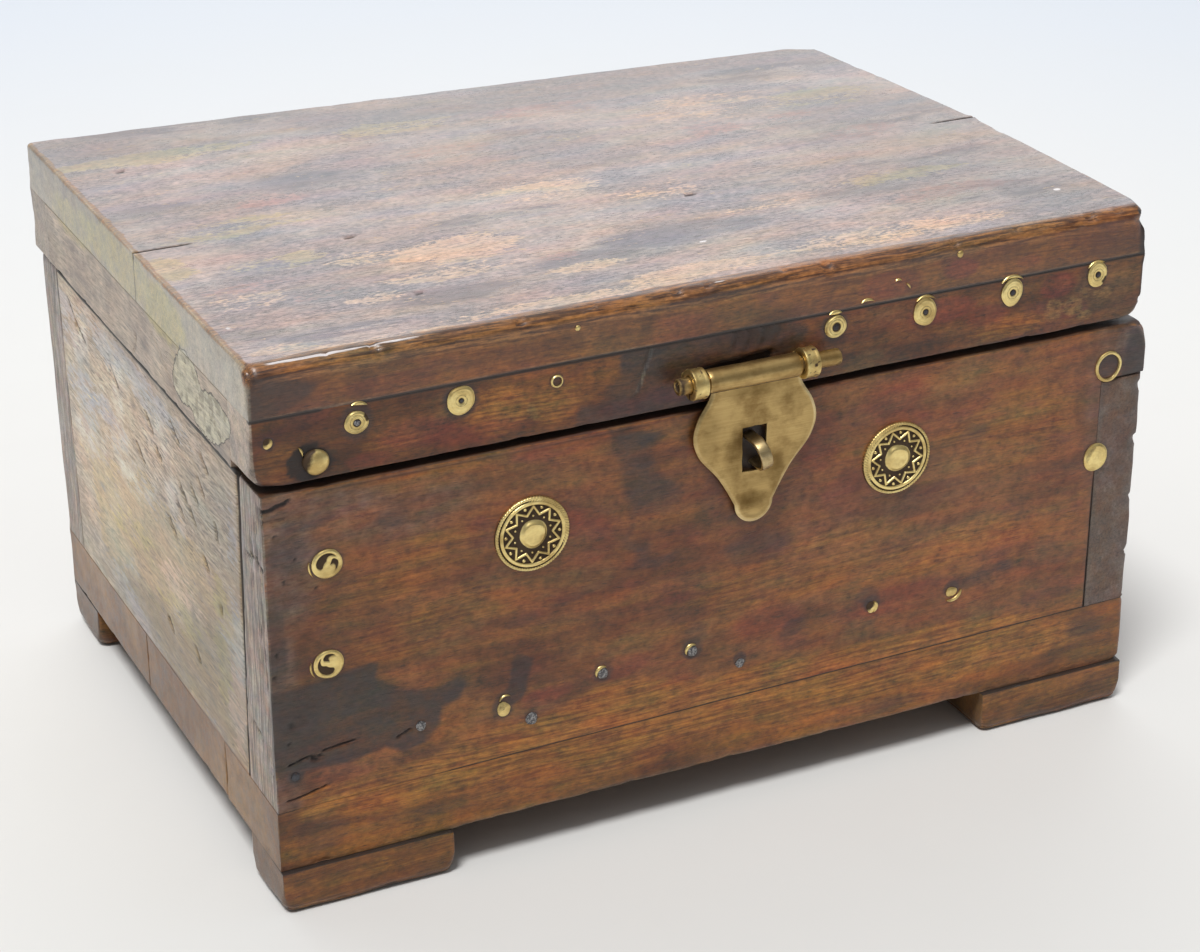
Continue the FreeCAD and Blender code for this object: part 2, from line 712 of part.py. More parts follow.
def build():
    """Every sub-part's name with its solid or its group of solids."""
    parts = {
        "lid_brass_discs": lid_discs(), "lid_disc_nails": lid_disc_nails(),
        "lid_brass_pins": lid_brass_pins(), "lid_dome_nail": lid_dome_nail(),
        "front_swirl_nails": front_swirl_nails(), "front_ring": front_ring(),
        "front_corner_disc": front_corner_disc(), "front_brass_pins": front_brass_pins(),
        "front_iron_nails": front_iron_nails(), "roundel_tacks": roundel_tacks(),
        "base_nails": base_nails(), "foot_nails": foot_nails(), "lid_plank_nails": lid_plank_nails(),
        "hinge_lid_nails": hinge_lid_nails(), "hinge_body_nails": hinge_body_nails(),
        "left_roundel": [roundel(roundel_shares[0])], "right_roundel": [roundel(roundel_shares[1])],
        "hasp_plate": [hasp_plate()], "hasp_pin": [hasp_pin()], "lock_staple": [lock_staple()],
    }
    for side, x in zip(("left", "right"), hinge_centres()):
        parts[side + "_hinge_lid_leaf"] = [hinge_lid_leaf(x)]
        parts[side + "_hinge_body_leaf"] = [hinge_body_leaf(x)]
        parts[side + "_hinge_pin"] = [hinge_pin(x)]
    for side, x in zip(("left", "right"), eye_centres()):
        parts["hasp_" + side + "_eye"] = [hasp_eye(x)]

    def driven(*names):
        return [solid for name in names for solid in parts[name]]

    front_trim = driven("front_swirl_nails", "front_ring", "front_corner_disc", "front_brass_pins",
                        "front_iron_nails", "roundel_tacks")
    wall_nails = driven("base_nails")
    parts["front_board"] = [front_board(front_trim + wall_nails + parts["lock_staple"])]
    parts["left_side_board"] = [left_side_board(front_trim + wall_nails)]
    parts["right_side_board"] = [right_side_board(front_trim + wall_nails)]
    parts["back_board"] = [back_board(wall_nails + driven("hinge_body_nails"))]

    under_nails = driven("base_nails", "foot_nails")
    front_seam = front_face + base_front_plank_width
    back_seam = front_seam + base_middle_plank_width
    parts["base_front_plank"] = [base_plank(front_face, front_seam, under_nails)]
    parts["base_middle_plank"] = [base_plank(front_seam, back_seam, under_nails)]
    parts["base_back_plank"] = [base_plank(back_seam, base_back, under_nails)]
    for end in ("front", "back"):
        for side in ("left", "right"):
            parts["foot_" + end + "_" + side] = [foot(side, end, under_nails)]

    rail_nails = driven("lid_disc_nails", "lid_brass_pins", "lid_dome_nail", "lid_plank_nails",
                        "hinge_lid_nails", "hasp_left_eye", "hasp_right_eye")
    front_inside = front_face + lid_front_rail_thickness
    back_inside = back_face - lid_back_rail_thickness
    parts["lid_front_rail"] = [lid_rail(lid_left, lid_right, front_face, front_inside, rail_nails)]
    parts["lid_back_rail"] = [lid_rail(lid_left, lid_right, back_inside, back_face, rail_nails)]
    parts["lid_left_rail"] = [lid_rail(lid_left, lid_left + lid_side_rail_thickness,
                                       front_inside, back_inside, rail_nails)]
    parts["lid_right_rail"] = [lid_rail(lid_right - lid_side_rail_thickness, lid_right,
                                        front_inside, back_inside, rail_nails)]
    plank_tools = driven("lid_plank_nails", "lid_brass_pins") + plank_nail_sinkings()
    parts["lid_front_plank"] = [lid_front_plank(plank_tools)]
    parts["lid_back_plank"] = [lid_back_plank(plank_tools)]
    return parts


for name, solids in build().items():
    shape = solids[0] if len(solids) == 1 else Part.makeCompound(solids)
    shape.exportStep("parts/" + name + ".step")
    print(name, len(shape.Solids), round(shape.Volume, 1), shape.isValid())

print("overall", overall_width, overall_depth)
print("hinge axis", hinge_axis_y, hinge_axis_z, "hasp axis", hasp_x, hasp_y, hasp_z)
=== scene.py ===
import math
import bpy
import numpy as np
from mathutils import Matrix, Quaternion, Vector

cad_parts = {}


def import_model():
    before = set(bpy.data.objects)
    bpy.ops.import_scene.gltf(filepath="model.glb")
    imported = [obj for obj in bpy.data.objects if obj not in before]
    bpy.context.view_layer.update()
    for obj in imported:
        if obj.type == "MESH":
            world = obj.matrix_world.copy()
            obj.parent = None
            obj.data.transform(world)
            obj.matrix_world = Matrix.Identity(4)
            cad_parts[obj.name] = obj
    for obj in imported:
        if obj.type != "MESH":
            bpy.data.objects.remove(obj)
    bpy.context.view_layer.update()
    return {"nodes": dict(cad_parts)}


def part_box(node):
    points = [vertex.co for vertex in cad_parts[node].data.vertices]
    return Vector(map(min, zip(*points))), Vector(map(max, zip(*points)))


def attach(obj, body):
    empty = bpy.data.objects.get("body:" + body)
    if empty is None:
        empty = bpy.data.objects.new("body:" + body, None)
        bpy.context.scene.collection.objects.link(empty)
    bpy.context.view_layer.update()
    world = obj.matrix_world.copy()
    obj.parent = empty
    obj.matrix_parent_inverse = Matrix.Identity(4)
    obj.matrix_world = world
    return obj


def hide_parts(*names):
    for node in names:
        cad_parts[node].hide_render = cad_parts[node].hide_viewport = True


# A small old wooden chest with a brass hasp, brass roundels, discs and nails.
# Sizes and places are millimetres in the frame's own axes, and become metres when a mesh is made.
# X runs along the front, Y from front to back, Z up. Colours are sRGB from 0 to 255.

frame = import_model()

MM = 0.001
X, Y, Z = 0, 1, 2
ALONG_X = Vector((1, 0, 0))
ALONG_Z = Vector((0, 0, 1))


def span(node):
    """A node's lowest and highest corners in millimetres."""
    low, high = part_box(node)
    return np.array(low) / MM, np.array(high) / MM


front_low, front_high = span("front_board")
right_low, right_high = span("right_side_board")
left_low, left_high = span("left_side_board")
rail_low, rail_high = span("lid_front_rail")
plank_low, plank_high = span("lid_front_plank")
back_plank_low, back_plank_high = span("lid_back_plank")

FRONT_FACE = front_low[Y]
SEAM_X = right_low[X]
FINGER_BOTTOM = 131.8
FRONT_THICKNESS_RIM = 21.2
FRONT_THICKNESS_BASE = 27.4
BASE_TOP_LEFT = 38.8
BASE_TOP_RIGHT = 42.5
RIM = front_high[Z]
BACK_LEAN = 5.5
BACK_BOARD_THICKNESS = 20.0


# Smooth noise for the shapes
def noise(points, cell, seed, octaves=1):
    """Smooth noise from -1 to 1; cell is the size of its features along each axis."""
    lattice = np.random.default_rng(seed).uniform(-1, 1, (32, 32, 32))
    place = np.asarray(points) / np.asarray(cell, float)
    total, weight, weights = 0, 1.0, 0
    for octave in range(octaves):
        low = np.floor(place).astype(int)
        part = place - low
        part = part * part * (3 - 2 * part)
        value = 0
        for corner in np.ndindex(2, 2, 2):
            share = np.prod(np.where(corner, part, 1 - part), axis=1)
            cell_index = (low + corner) % 32
            value = value + share * lattice[cell_index[:, 0], cell_index[:, 1], cell_index[:, 2]]
        total = total + weight * value
        weights += weight
        weight /= 2
        place = place * 2 + 7.3
    return total / weights


def ease(value, low, high):
    """0 below low, 1 above high, and smooth between; low may be the larger."""
    share = np.clip((value - low) / (high - low), 0, 1)
    return share * share * (3 - 2 * share)


def blots(u, v, table):
    """Soft ellipses: each row has a centre, two radii, a strength and, if it is turned, its degrees."""
    total = np.zeros(len(u))
    for centre_u, centre_v, radius_u, radius_v, strength, *turn in table:
        angle = math.radians(turn[0]) if turn else 0.0
        c, s = math.cos(angle), math.sin(angle)
        along = (u - centre_u) * c + (v - centre_v) * s
        across = (v - centre_v) * c - (u - centre_u) * s
        reach = np.sqrt((along / radius_u) ** 2 + (across / radius_v) ** 2)
        total = np.maximum(total, strength * ease(reach, 1.25, 0.6))
    return total


def line_distance(u, v, places):
    """Distance to a bent line through the places."""
    best = np.full(len(u), 1e9)
    for (u0, v0), (u1, v1) in zip(places, places[1:]):
        length = (u1 - u0) ** 2 + (v1 - v0) ** 2
        share = np.clip(((u - u0) * (u1 - u0) + (v - v0) * (v1 - v0)) / length, 0, 1)
        best = np.minimum(best, np.hypot(u - u0 - share * (u1 - u0), v - v0 - share * (v1 - v0)))
    return best


def inside(u, v, corners, soft=1.5):
    """1 inside a shape and 0 outside, softly; corners are its outline in order."""
    closed = list(corners) + [corners[0]]
    within = np.zeros(len(u), bool)
    for (u0, v0), (u1, v1) in zip(closed, closed[1:]):
        rise = v1 - v0 if v1 != v0 else 1e-9
        within ^= ((v0 > v) != (v1 > v)) & (u < u0 + (v - v0) * (u1 - u0) / rise)
    away = line_distance(u, v, closed)
    return ease(np.where(within, away, -away), -soft, soft)


# Meshes
def make_piece(name, points, faces, body, material, nodes=(), masks=None, sharp=None):
    mesh = bpy.data.meshes.new(name)
    mesh.from_pydata((np.asarray(points) * MM).tolist(), [], faces)
    mesh.polygons.foreach_set("use_smooth", np.ones(len(mesh.polygons), bool))
    if sharp:
        mesh.set_sharp_from_angle(angle=math.radians(sharp))
    for mask, values in (masks or {}).items():
        attribute = mesh.attributes.new(mask, "FLOAT", "POINT")
        attribute.data.foreach_set("value", np.asarray(values, np.float32))
    mesh.materials.append(material)
    piece = bpy.data.objects.new(name, mesh)
    bpy.context.scene.collection.objects.link(piece)
    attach(piece, body)
    if nodes:
        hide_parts(*nodes)
    return piece


EDGE_STEPS = (0.0, 0.3, 0.7, 1.2, 1.9, 2.8, 4.0)
LEAST_STEP = 0.12


def grid_lines(low, high, step, extra):
    """Places of the grid's lines along one side of a board, close together at both ends."""
    near = np.array([s for s in EDGE_STEPS if s < (high - low) / 2 - LEAST_STEP])
    start, end = low + near[-1], high - near[-1]
    middle = np.linspace(start, end, max(2, round((end - start) / step) + 1))
    places = np.unique(np.concatenate([low + near, middle, high - near, extra]))
    kept = [places[0]]
    for place in places[1:-1]:
        if place - kept[-1] > LEAST_STEP and places[-1] - place > LEAST_STEP:
            kept.append(place)
    return np.array(kept + [places[-1]])


CRISP = 0.1


class Board:
    """A worn board: a fine grid over a box, with rounded edges, dents and painted-on masks."""

    def __init__(self, low, high, steps, extra=((), (), ())):
        self.low, self.high = np.array(low, float), np.array(high, float)
        lines = [grid_lines(self.low[a], self.high[a], steps[a], extra[a]) for a in range(3)]
        shape = tuple(len(line) for line in lines)
        index = np.indices(shape)
        shell = np.zeros(shape, bool)
        for a in range(3):
            shell |= (index[a] == 0) | (index[a] == shape[a] - 1)
        ids = np.full(shape, -1)
        ids[shell] = np.arange(shell.sum())
        self.rest = np.stack([lines[a][index[a][shell]] for a in range(3)], axis=1)
        faces = []
        for a in range(3):
            side = np.moveaxis(ids, [a, (a + 1) % 3, (a + 2) % 3], [0, 1, 2])
            for grid, order in ((side[0], (0, 3, 2, 1)), (side[-1], (0, 1, 2, 3))):
                quads = [grid[:-1, :-1], grid[1:, :-1], grid[1:, 1:], grid[:-1, 1:]]
                faces.append(np.stack([quads[i].ravel() for i in order], axis=1))
        self.faces = np.concatenate(faces)
        self.radius = np.ones(len(self.rest))
        self.dent = np.zeros(len(self.rest))
        self.masks = {}
        self.tight = ()
        self.hold = np.ones(len(self.rest))
        sides = np.stack([self.rest - self.low, self.high - self.rest], axis=2).reshape(len(self.rest), 6)
        self.edge = np.sort(sides, axis=1)[:, 1]

    def near(self, axis, end, reach=4.0):
        """1 on one face, falling to 0 at a depth of reach; end 0 is the low face, 1 the high one."""
        face = self.high[axis] if end else self.low[axis]
        return ease(np.abs(self.rest[:, axis] - face), reach, 0)

    def press(self, depth):
        self.dent = self.dent + depth

    def paint(self, mask, values):
        self.masks[mask] = np.clip(np.maximum(self.masks.get(mask, 0), values), 0, 1)

    def wear_edges(self, seed, radius=1.3, spread=0.6, wear=0.8, width=2.2, tight=()):
        """Rounds every edge unevenly and bares the wood along it; tight faces keep crisp, clean edges."""
        self.tight = tight
        loose = np.ones(len(self.rest))
        for axis, end in tight:
            loose = loose * (1 - self.hold * self.near(axis, end, 5.0))
        uneven = radius * (1 + spread * noise(self.rest, 14, seed, 2))
        self.radius = CRISP + (uneven - CRISP) * loose
        ragged = noise(self.rest, (9, 9, 5), seed + 1, 2)
        self.paint("wear", wear * loose * ease(self.edge, width * 1.6, 0.2) * ease(ragged, -0.5, 0.4))
        chips = ease(noise(self.rest, 6, seed + 2, 2), 0.1, 0.7)
        self.press(0.35 * loose * chips * ease(self.edge, 3.0, 0.5))

    def warp(self, seed, depth=0.25, cell=(60, 60, 25)):
        self.press(depth * (1 + noise(self.rest, cell, seed, 3)) / 2)

    def crack(self, axis, end, places, width, depth, dark=1.0):
        """A crack along a bent line on one face; places are the face's two other coordinates."""
        others = [a for a in range(3) if a != axis]
        gap = line_distance(self.rest[:, others[0]], self.rest[:, others[1]], places)
        groove = ease(gap, width, width * 0.2) * self.near(axis, end)
        self.press(depth * groove)
        self.paint("grime_and_shade", dark * groove)

    def cracks(self, axis, end, table):
        for places, *measures in table:
            self.crack(axis, end, places, *measures)

    def round_off(self, amount, away, far, near):
        """Rounds the edges by an amount more, as the distance away falls from far to near."""
        self.radius = self.radius + amount * ease(away, far, near)

    def sharpen(self, radius, loose):
        """Brings the edges' radius down to the one given where loose is 0."""
        self.radius = radius + (self.radius - radius) * loose

    def finished(self):
        thinnest = (self.high - self.low).min() / 2
        radius = np.clip(self.radius, 0.02, thinnest)[:, None]
        low, high = np.tile(self.low, (len(self.rest), 1)), np.tile(self.high, (len(self.rest), 1))
        for axis, end in self.tight:
            if end:
                high[:, axis] += 2 * thinnest * self.hold
            else:
                low[:, axis] -= 2 * thinnest * self.hold
        core = np.clip(self.rest, low + radius, high - radius)
        out = self.rest - core
        out /= np.maximum(np.linalg.norm(out, axis=1, keepdims=True), 1e-9)
        return core + out * (radius - self.dent[:, None])

    def shapes(self, axes, where, table):
        """Paints shapes onto one face; a row has a mask, corners, softness and strength."""
        u, v = self.rest[:, axes].T
        for mask, corners, soft, strength in table:
            self.paint(mask, strength * inside(u, v, corners, soft) * where)

    def marks(self, axes, where, tables):
        """Paints soft ellipses onto one face, a table of them for each mask."""
        u, v = self.rest[:, axes].T
        for mask, table in tables.items():
            self.paint(mask, blots(u, v, table) * where)

    def piece(self, name, body, slot, material, points=None, sharp=None):
        points = self.finished() if points is None else points
        return make_piece(name, points, self.faces.tolist(), body, material, [name], self.masks, sharp)


# Node materials
def tone(red, green, blue):
    """A colour from sRGB 0 to 255 to the linear values that sockets take."""
    def linear(value):
        value /= 255
        return value / 12.92 if value <= 0.04045 else ((value + 0.055) / 1.055) ** 2.4
    return (linear(red), linear(green), linear(blue), 1.0)
def tones(*colours):
    return tuple(tone(*colour) for colour in colours)


class Value:
    """A number that a node gives; sums and products of these make more nodes."""

    def __init__(self, shader, socket):
        self.shader = shader
        self.socket = socket

    def __add__(self, other):
        return self.shader.math("ADD", self, other)

    def __radd__(self, other):
        return self.shader.math("ADD", other, self)

    def __sub__(self, other):
        return self.shader.math("SUBTRACT", self, other)

    def __rsub__(self, other):
        return self.shader.math("SUBTRACT", other, self)

    def __mul__(self, other):
        return self.shader.math("MULTIPLY", self, other)


class Shader:
    """Builds a material's nodes with short calls; a value may be a number, a colour, a socket or a Value."""

    def __init__(self, name):
        self.material = bpy.data.materials.new(name)
        self.material.use_nodes = True
        self.tree = self.material.node_tree
        self.tree.nodes.clear()
        self.place = self.add("ShaderNodeTexCoord").outputs["Object"]
        self.grain = self.place

    def add(self, kind, values=None, **settings):
        node = self.tree.nodes.new(kind)
        for setting, value in settings.items():
            setattr(node, setting, value)
        for socket, value in (values or {}).items():
            self.put(node.inputs[socket], value)
        return node

    def put(self, socket, value):
        if isinstance(value, Value):
            value = value.socket
        if isinstance(value, bpy.types.NodeSocket):
            self.tree.links.new(value, socket)
        else:
            socket.default_value = value

    def bend(self, axis, reach, size, shift):
        """Makes the grain wander sideways by up to reach millimetres."""
        values = {"Vector": self.scaled(size, shift), "Scale": 1.0, "Detail": 2.0}
        drift = self.add("ShaderNodeTexNoise", values).outputs["Color"]
        amount = [2 * reach * MM] * 3
        amount[axis] = 0.0
        centred = self.add("ShaderNodeVectorMath", {0: drift, 1: (0.5, 0.5, 0.5)}, operation="SUBTRACT")
        values = {0: centred.outputs[0], 1: tuple(amount), 2: self.place}
        self.grain = self.add("ShaderNodeVectorMath", values, operation="MULTIPLY_ADD").outputs[0]

    def scaled(self, size, shift=0.0):
        """Coordinates along the grain in units of the given millimetres along each axis."""
        values = {0: self.grain, 1: tuple(1 / (s * MM) for s in size), 2: (shift, shift, shift)}
        return self.add("ShaderNodeVectorMath", values, operation="MULTIPLY_ADD").outputs[0]

    def noise(self, size, shift=0.0, detail=4.0, rough=0.55):
        values = {"Vector": self.scaled(size, shift), "Scale": 1.0, "Detail": detail, "Roughness": rough}
        return Value(self, self.add("ShaderNodeTexNoise", values).outputs["Fac"])

    def mask(self, name):
        return Value(self, self.add("ShaderNodeAttribute", attribute_name=name).outputs["Fac"])

    def math(self, operation, a, b=0.0, clamp=False):
        node = self.add("ShaderNodeMath", {0: a, 1: b}, operation=operation, use_clamp=clamp)
        return Value(self, node.outputs[0])

    def weighted(self, parts, total):
        """Adds textures to a total, each about its middle value and by its own weight."""
        for texture, weight in parts:
            total = total + (texture - 0.5) * weight
        return total

    def step(self, value, low, high, bottom=0.0, top=1.0):
        values = {"Value": value, "From Min": low, "From Max": high, "To Min": bottom, "To Max": top}
        node = self.add("ShaderNodeMapRange", values, interpolation_type="SMOOTHSTEP")
        return Value(self, node.outputs["Result"])

    def ragged(self, name, texture, soft=0.18, strength=0.9):
        """A painted mask whose border is broken up by a texture."""
        return self.step(self.mask(name) + (texture - 0.5) * strength, 0.5 - soft, 0.5 + soft)

    def mix(self, factor, a, b, blend="MIX"):
        node = self.add("ShaderNodeMix", {0: factor, 6: a, 7: b}, data_type="RGBA", blend_type=blend)
        return node.outputs[2]

    def channels(self, red, green, blue):
        return self.add("ShaderNodeCombineColor", {0: red, 1: green, 2: blue}).outputs[0]

    def bump(self, height, distance, strength=1.0):
        values = {"Height": height, "Distance": distance * MM, "Strength": strength}
        return self.add("ShaderNodeBump", values).outputs["Normal"]

    def finish(self, colour, roughness, normal, metallic=0.0, level=0.5, coat=0.0, coat_roughness=0.3,
               sheen=0.0, sheen_roughness=0.5):
        values = {"Base Color": colour, "Roughness": roughness, "Normal": normal, "Metallic": metallic,
                  "Specular IOR Level": level, "Coat Weight": coat, "Coat Roughness": coat_roughness,
                  "Sheen Weight": sheen, "Sheen Roughness": sheen_roughness}
        surface = self.add("ShaderNodeBsdfPrincipled", values)
        output = self.add("ShaderNodeOutputMaterial", {"Surface": surface.outputs["BSDF"]})
        output.is_active_output = True
        return self.material


GRIME_AND_SHADE = tone(34, 27, 24)
BLUE_BLACK = tone(50, 44, 43)
RED_PAINT = tone(118, 48, 38)
OCHRE = tone(152, 114, 60)
WORN_ORANGE = tone(152, 102, 54)
WORN_DARK = tone(80, 50, 30)
WARM_LIGHT = tone(172, 112, 44)
WARM_DARK = tone(122, 70, 26)
# What the masks slate, sallow, rose, peach and green bring on, on the lid's top and on the sides
TOP_TINTS = tones((98, 86, 90), (164, 142, 96), (154, 112, 102), (192, 158, 130), (150, 134, 92))
SIDE_TINTS = tones((158, 152, 150), (168, 142, 98), (164, 132, 124), (196, 170, 146), (168, 152, 92))
TINT_MASKS = ("slate", "sallow", "rose", "peach", "green")
TINT_AMOUNTS = (0.85, 0.75, 0.65, 0.85, 0.6)
YELLOW_GREEN = tone(170, 154, 92)
RUDDY = tone(112, 58, 44)
OLIVE_BROWN = tone(124, 88, 50)
DUST = tone(112, 97, 88)
DUST_DARK = tone(88, 74, 66)
CREAM = tone(192, 182, 154)
CREAM_DARK = tone(142, 130, 104)
GLINT = tone(222, 214, 212)
RAW_WOOD = tone(138, 104, 74)
RAW_DARK = tone(92, 66, 48)
END_PALE = tone(168, 149, 132)
END_DARK = tone(80, 58, 42)
# Each stained palette is dark, middle and light; each faded one is grey, middle and pale, and is faded wood
# with a painted sheen on the lid's top and on the left side
STAINED = tones((98, 57, 31), (126, 76, 38), (150, 93, 43))
STAINED_LID = tones((86, 47, 20), (114, 66, 27), (138, 84, 34))
STAINED_BASE = tones((88, 49, 14), (124, 75, 22), (158, 99, 30))
FADED_AND_SHEEN_TOP = tones((110, 94, 92), (150, 128, 122), (174, 148, 134))
FADED_AND_SHEEN_SIDE = tones((158, 133, 103), (182, 163, 139), (197, 187, 174))
# The pale side palettes of the lid's left faces are grey worn wood with a painted sheen
SIDE_RAIL_AND_SHEEN = tones((112, 92, 76), (166, 145, 125), (190, 171, 148))
SIDE_LID_AND_SHEEN = tones((96, 83, 68), (148, 134, 113), (176, 162, 139))
SIDE_BASE = tones((78, 43, 12), (110, 71, 28), (140, 101, 52))




def wood(name, axis, shift, stained=STAINED, faded_and_sheen=FADED_AND_SHEEN_SIDE, side=SIDE_LID_AND_SHEEN, tints=SIDE_TINTS, gloss=0.38,
         coat=0.1, busy=1.3, lumpy=0.75, hue=0.55, strokes=0.0, ruddy=0.45, long=1.0, spread=1.0):
    """Old stained wood; its grain runs along one axis. Painted masks bring on wear, grime and paint, with
    painted shade, a painted sheen and painted highlights.

    busy scales the finest light and dark specks, lumpy the blotches of a few millimetres, hue how far the
    colour drifts and strokes how many dark open pores there are. long stretches the specks along the grain
    and spread widens the drifts of colour.
    """
    s = Shader(name)
    s.bend(axis, 4.0, (110, 90, 70), shift)

    def grain(across, along, offset, detail, rough):
        """A texture drawn out along the grain, its features that wide and long in millimetres."""
        size = [across] * 3
        size[axis] = along
        return s.noise(size, shift + offset, detail, rough)

    cloud = s.noise((48, 42, 34), shift + 8, 4, 0.55)
    mottle = s.noise((5, 5, 5), shift + 13, 4, 0.6)
    drift = s.noise((34, 30, 20), shift + 40, 5, 0.62)
    upright = s.noise((1.2, 0.7, 22), shift + 31, 4, 0.6)
    patch = grain(7, 26, 10, 6, 0.66)
    broad = grain(6, 90, 0, 3, 0.5)
    streak = grain(1.0, 22, 3, 4, 0.6)
    fine = grain(0.38, 5 * long, 5, 3, 0.6)
    speck = grain(1.1, 2.4 * long, 11, 4, 0.65)
    pore = s.step(grain(0.32, 3.2, 14, 1, 0.5), 0.65, 0.72)
    place = grain(0.6, 6.5, 17, 2, 0.5) + s.mask("pitted") * 0.1 + (mottle - 0.5) * 0.3
    dash = s.step(place, 0.68 - strokes, 0.75 - strokes)

    # Stained wood, and the colours that fading, handling and light have brought out of it; the pale faded
    # layer is partly a painted sheen
    colour = s.mix(s.step(cloud, 0.34, 0.62), stained[0], stained[1])
    colour = s.mix(s.step(broad, 0.42, 0.68, 0.0, 0.6), colour, stained[2])
    colour = s.mix(s.step(patch, 0.5, 0.66, 0.0, 0.35), colour, stained[0])
    colour = s.mix(s.step(drift, 0.54, 0.64, 0.0, ruddy), colour, RUDDY)
    colour = s.mix(s.step(drift, 0.46, 0.36, 0.0, ruddy), colour, OLIVE_BROWN)
    warm = s.mix(s.step(streak, 0.36, 0.62), WARM_DARK, WARM_LIGHT)
    colour = s.mix(s.ragged("warm", patch, 0.35, 0.9) * 0.72, colour, warm)
    torn = patch + (speck - 0.5) * (0.5 * busy)
    pale = s.mix(s.step(torn, 0.44 - 0.12 / busy, 0.52 + 0.12 / busy), faded_and_sheen[0], faded_and_sheen[1])
    pale = s.mix(s.step(cloud, 0.46, 0.62, 0.0, 0.75), pale, faded_and_sheen[2])
    for mask, tint, amount in zip(TINT_MASKS, tints, TINT_AMOUNTS):
        pale = s.mix(s.ragged(mask, torn, 0.36 - 0.16 * busy, 1.0 + 0.8 * busy) * amount, pale, tint)
    raw = s.mix(s.step(streak, 0.35, 0.7), RAW_DARK, RAW_WOOD)
    # The left faces' own colours; on the lid these pale greys are partly a painted sheen
    plain = s.mix(s.step(patch, 0.30, 0.54), side[0], side[1])
    plain = s.mix(s.step(cloud, 0.42, 0.66, 0.0, 0.8), plain, side[2])
    plain = s.mix(s.ragged("green", mottle, 0.35, 0.9) * 0.75, plain, YELLOW_GREEN)
    end = s.mix(s.step(upright, 0.38, 0.64), END_DARK, END_PALE)
    for mask, soft, strength, layer in (("faded_and_sheen", 0.25, 0.5, pale), ("raw", 0.3, 0.4, raw),
                                        ("side", 0.3, 0.3, plain), ("end", 0.3, 0.4, end)):
        colour = s.mix(s.ragged(mask, speck, soft, strength), colour, layer)

    # Shade, paint, dust, wear and stains on it
    shade = s.math("SUBTRACT", s.mask("light") * 0.5 + 0.5, s.mask("dark") * 0.5, clamp=True)
    colour = s.mix(0.8, colour, s.channels(shade, shade, shade), "OVERLAY")
    colour = s.mix(s.ragged("red", patch, 0.35, 0.8) * 0.6, colour, RED_PAINT)
    colour = s.mix(s.ragged("ochre", speck, 0.3, 0.9) * 0.62, colour, OCHRE)
    dust = s.mask("dust") * s.step(mottle, 0.3, 0.7, 0.55, 1.0)
    colour = s.mix(dust, colour, s.mix(s.step(patch, 0.4, 0.6), DUST_DARK, DUST))
    bare = s.mix(s.step(streak, 0.38, 0.62), WORN_DARK, WORN_ORANGE)
    colour = s.mix(s.ragged("wear", streak, 0.22, 0.8), colour, bare)
    smudge = s.ragged("stain", patch, 0.32, 1.1) * s.step(mottle, 0.3, 0.65, 0.6, 0.9)
    colour = s.mix(smudge, colour, BLUE_BLACK)
    chips = s.mask("cream") + (s.noise((5, 5, 5), shift + 71, 5, 0.7) - 0.5) * 1.1
    colour = s.mix(s.step(chips, 0.46, 0.54), colour, s.mix(s.step(mottle, 0.44, 0.64), CREAM, CREAM_DARK))
    border = s.math("ABSOLUTE", chips - 0.5)

    # Light and dark along the grain, with red, green and blue apart so that the hue drifts too
    lift = s.weighted(((streak, 0.14), (fine, 0.34 * busy), (speck, 0.62 * busy), (mottle, lumpy)), 0.5)
    ember = grain(9 * spread, 30 * spread, 61, 6, 0.64 - 0.1 * (spread - 1))
    rosy = grain(6 * spread, 22 * spread, 67, 6, 0.68 - 0.1 * (spread - 1))
    amount = s.step(s.mask("side"), 0.0, 1.0, hue, 0.3 * hue)
    lesser = amount * (0.3 / spread)
    red = s.weighted(((ember, amount), (rosy, lesser)), lift)
    green = s.weighted(((rosy, amount * (-0.6 / spread)),), lift)
    blue = s.weighted(((ember, amount * -1.0), (rosy, lesser)), lift)
    colour = s.mix(1.0, colour, s.channels(red, green, blue), "OVERLAY")
    colour = s.mix(pore * 0.4, colour, GRIME_AND_SHADE)
    colour = s.mix(dash * 0.55, colour, GRIME_AND_SHADE)
    # Painted highlight: white glints painted into the colour
    glint = s.ragged("glint", streak, 0.12, 1.6)
    colour = s.mix(glint, colour, GLINT)
    # Dirt, dark joints, and painted shade in gaps and recesses
    grime_and_shade = s.step(s.mask("grime_and_shade") + (speck - 0.5) * 0.5, 0.15, 0.85)
    grime_and_shade = s.math("MAXIMUM", grime_and_shade, s.step(border, 0.09, 0.03, 0.0, 0.85))
    colour = s.mix(grime_and_shade * 0.92, colour, GRIME_AND_SHADE)

    relief = streak * 0.45 + fine * 0.45 - pore * 0.4 - dash * 0.45 + speck * 0.45
    rough = (speck - 0.5) * 0.3 + gloss + s.step(patch, 0.35, 0.65, 0.0, 0.12)
    rough = s.math("ADD", rough - s.mask("faded_and_sheen") * 0.06 - glint * 0.12, grime_and_shade * 0.15, clamp=True)
    return s.finish(colour, rough, s.bump(relief, 0.14, 0.8), coat=coat, coat_roughness=0.25, sheen=0.1,
                    sheen_roughness=0.45)


BRASS_BRIGHT, BRASS, BRASS_DULL = tones((206, 176, 118), (184, 153, 98), (132, 102, 58))
PATINA = tone(68, 50, 31)
TARNISH = tone(98, 74, 38)
RUBBED_AND_HIGHLIT = tone(240, 218, 164)
IRON_PALE, IRON_DARK, RUST = tones((84, 84, 88), (56, 50, 48), (104, 66, 42))
NAIL_DARK, NAIL_PALE = tones((92, 90, 92), (168, 166, 164))


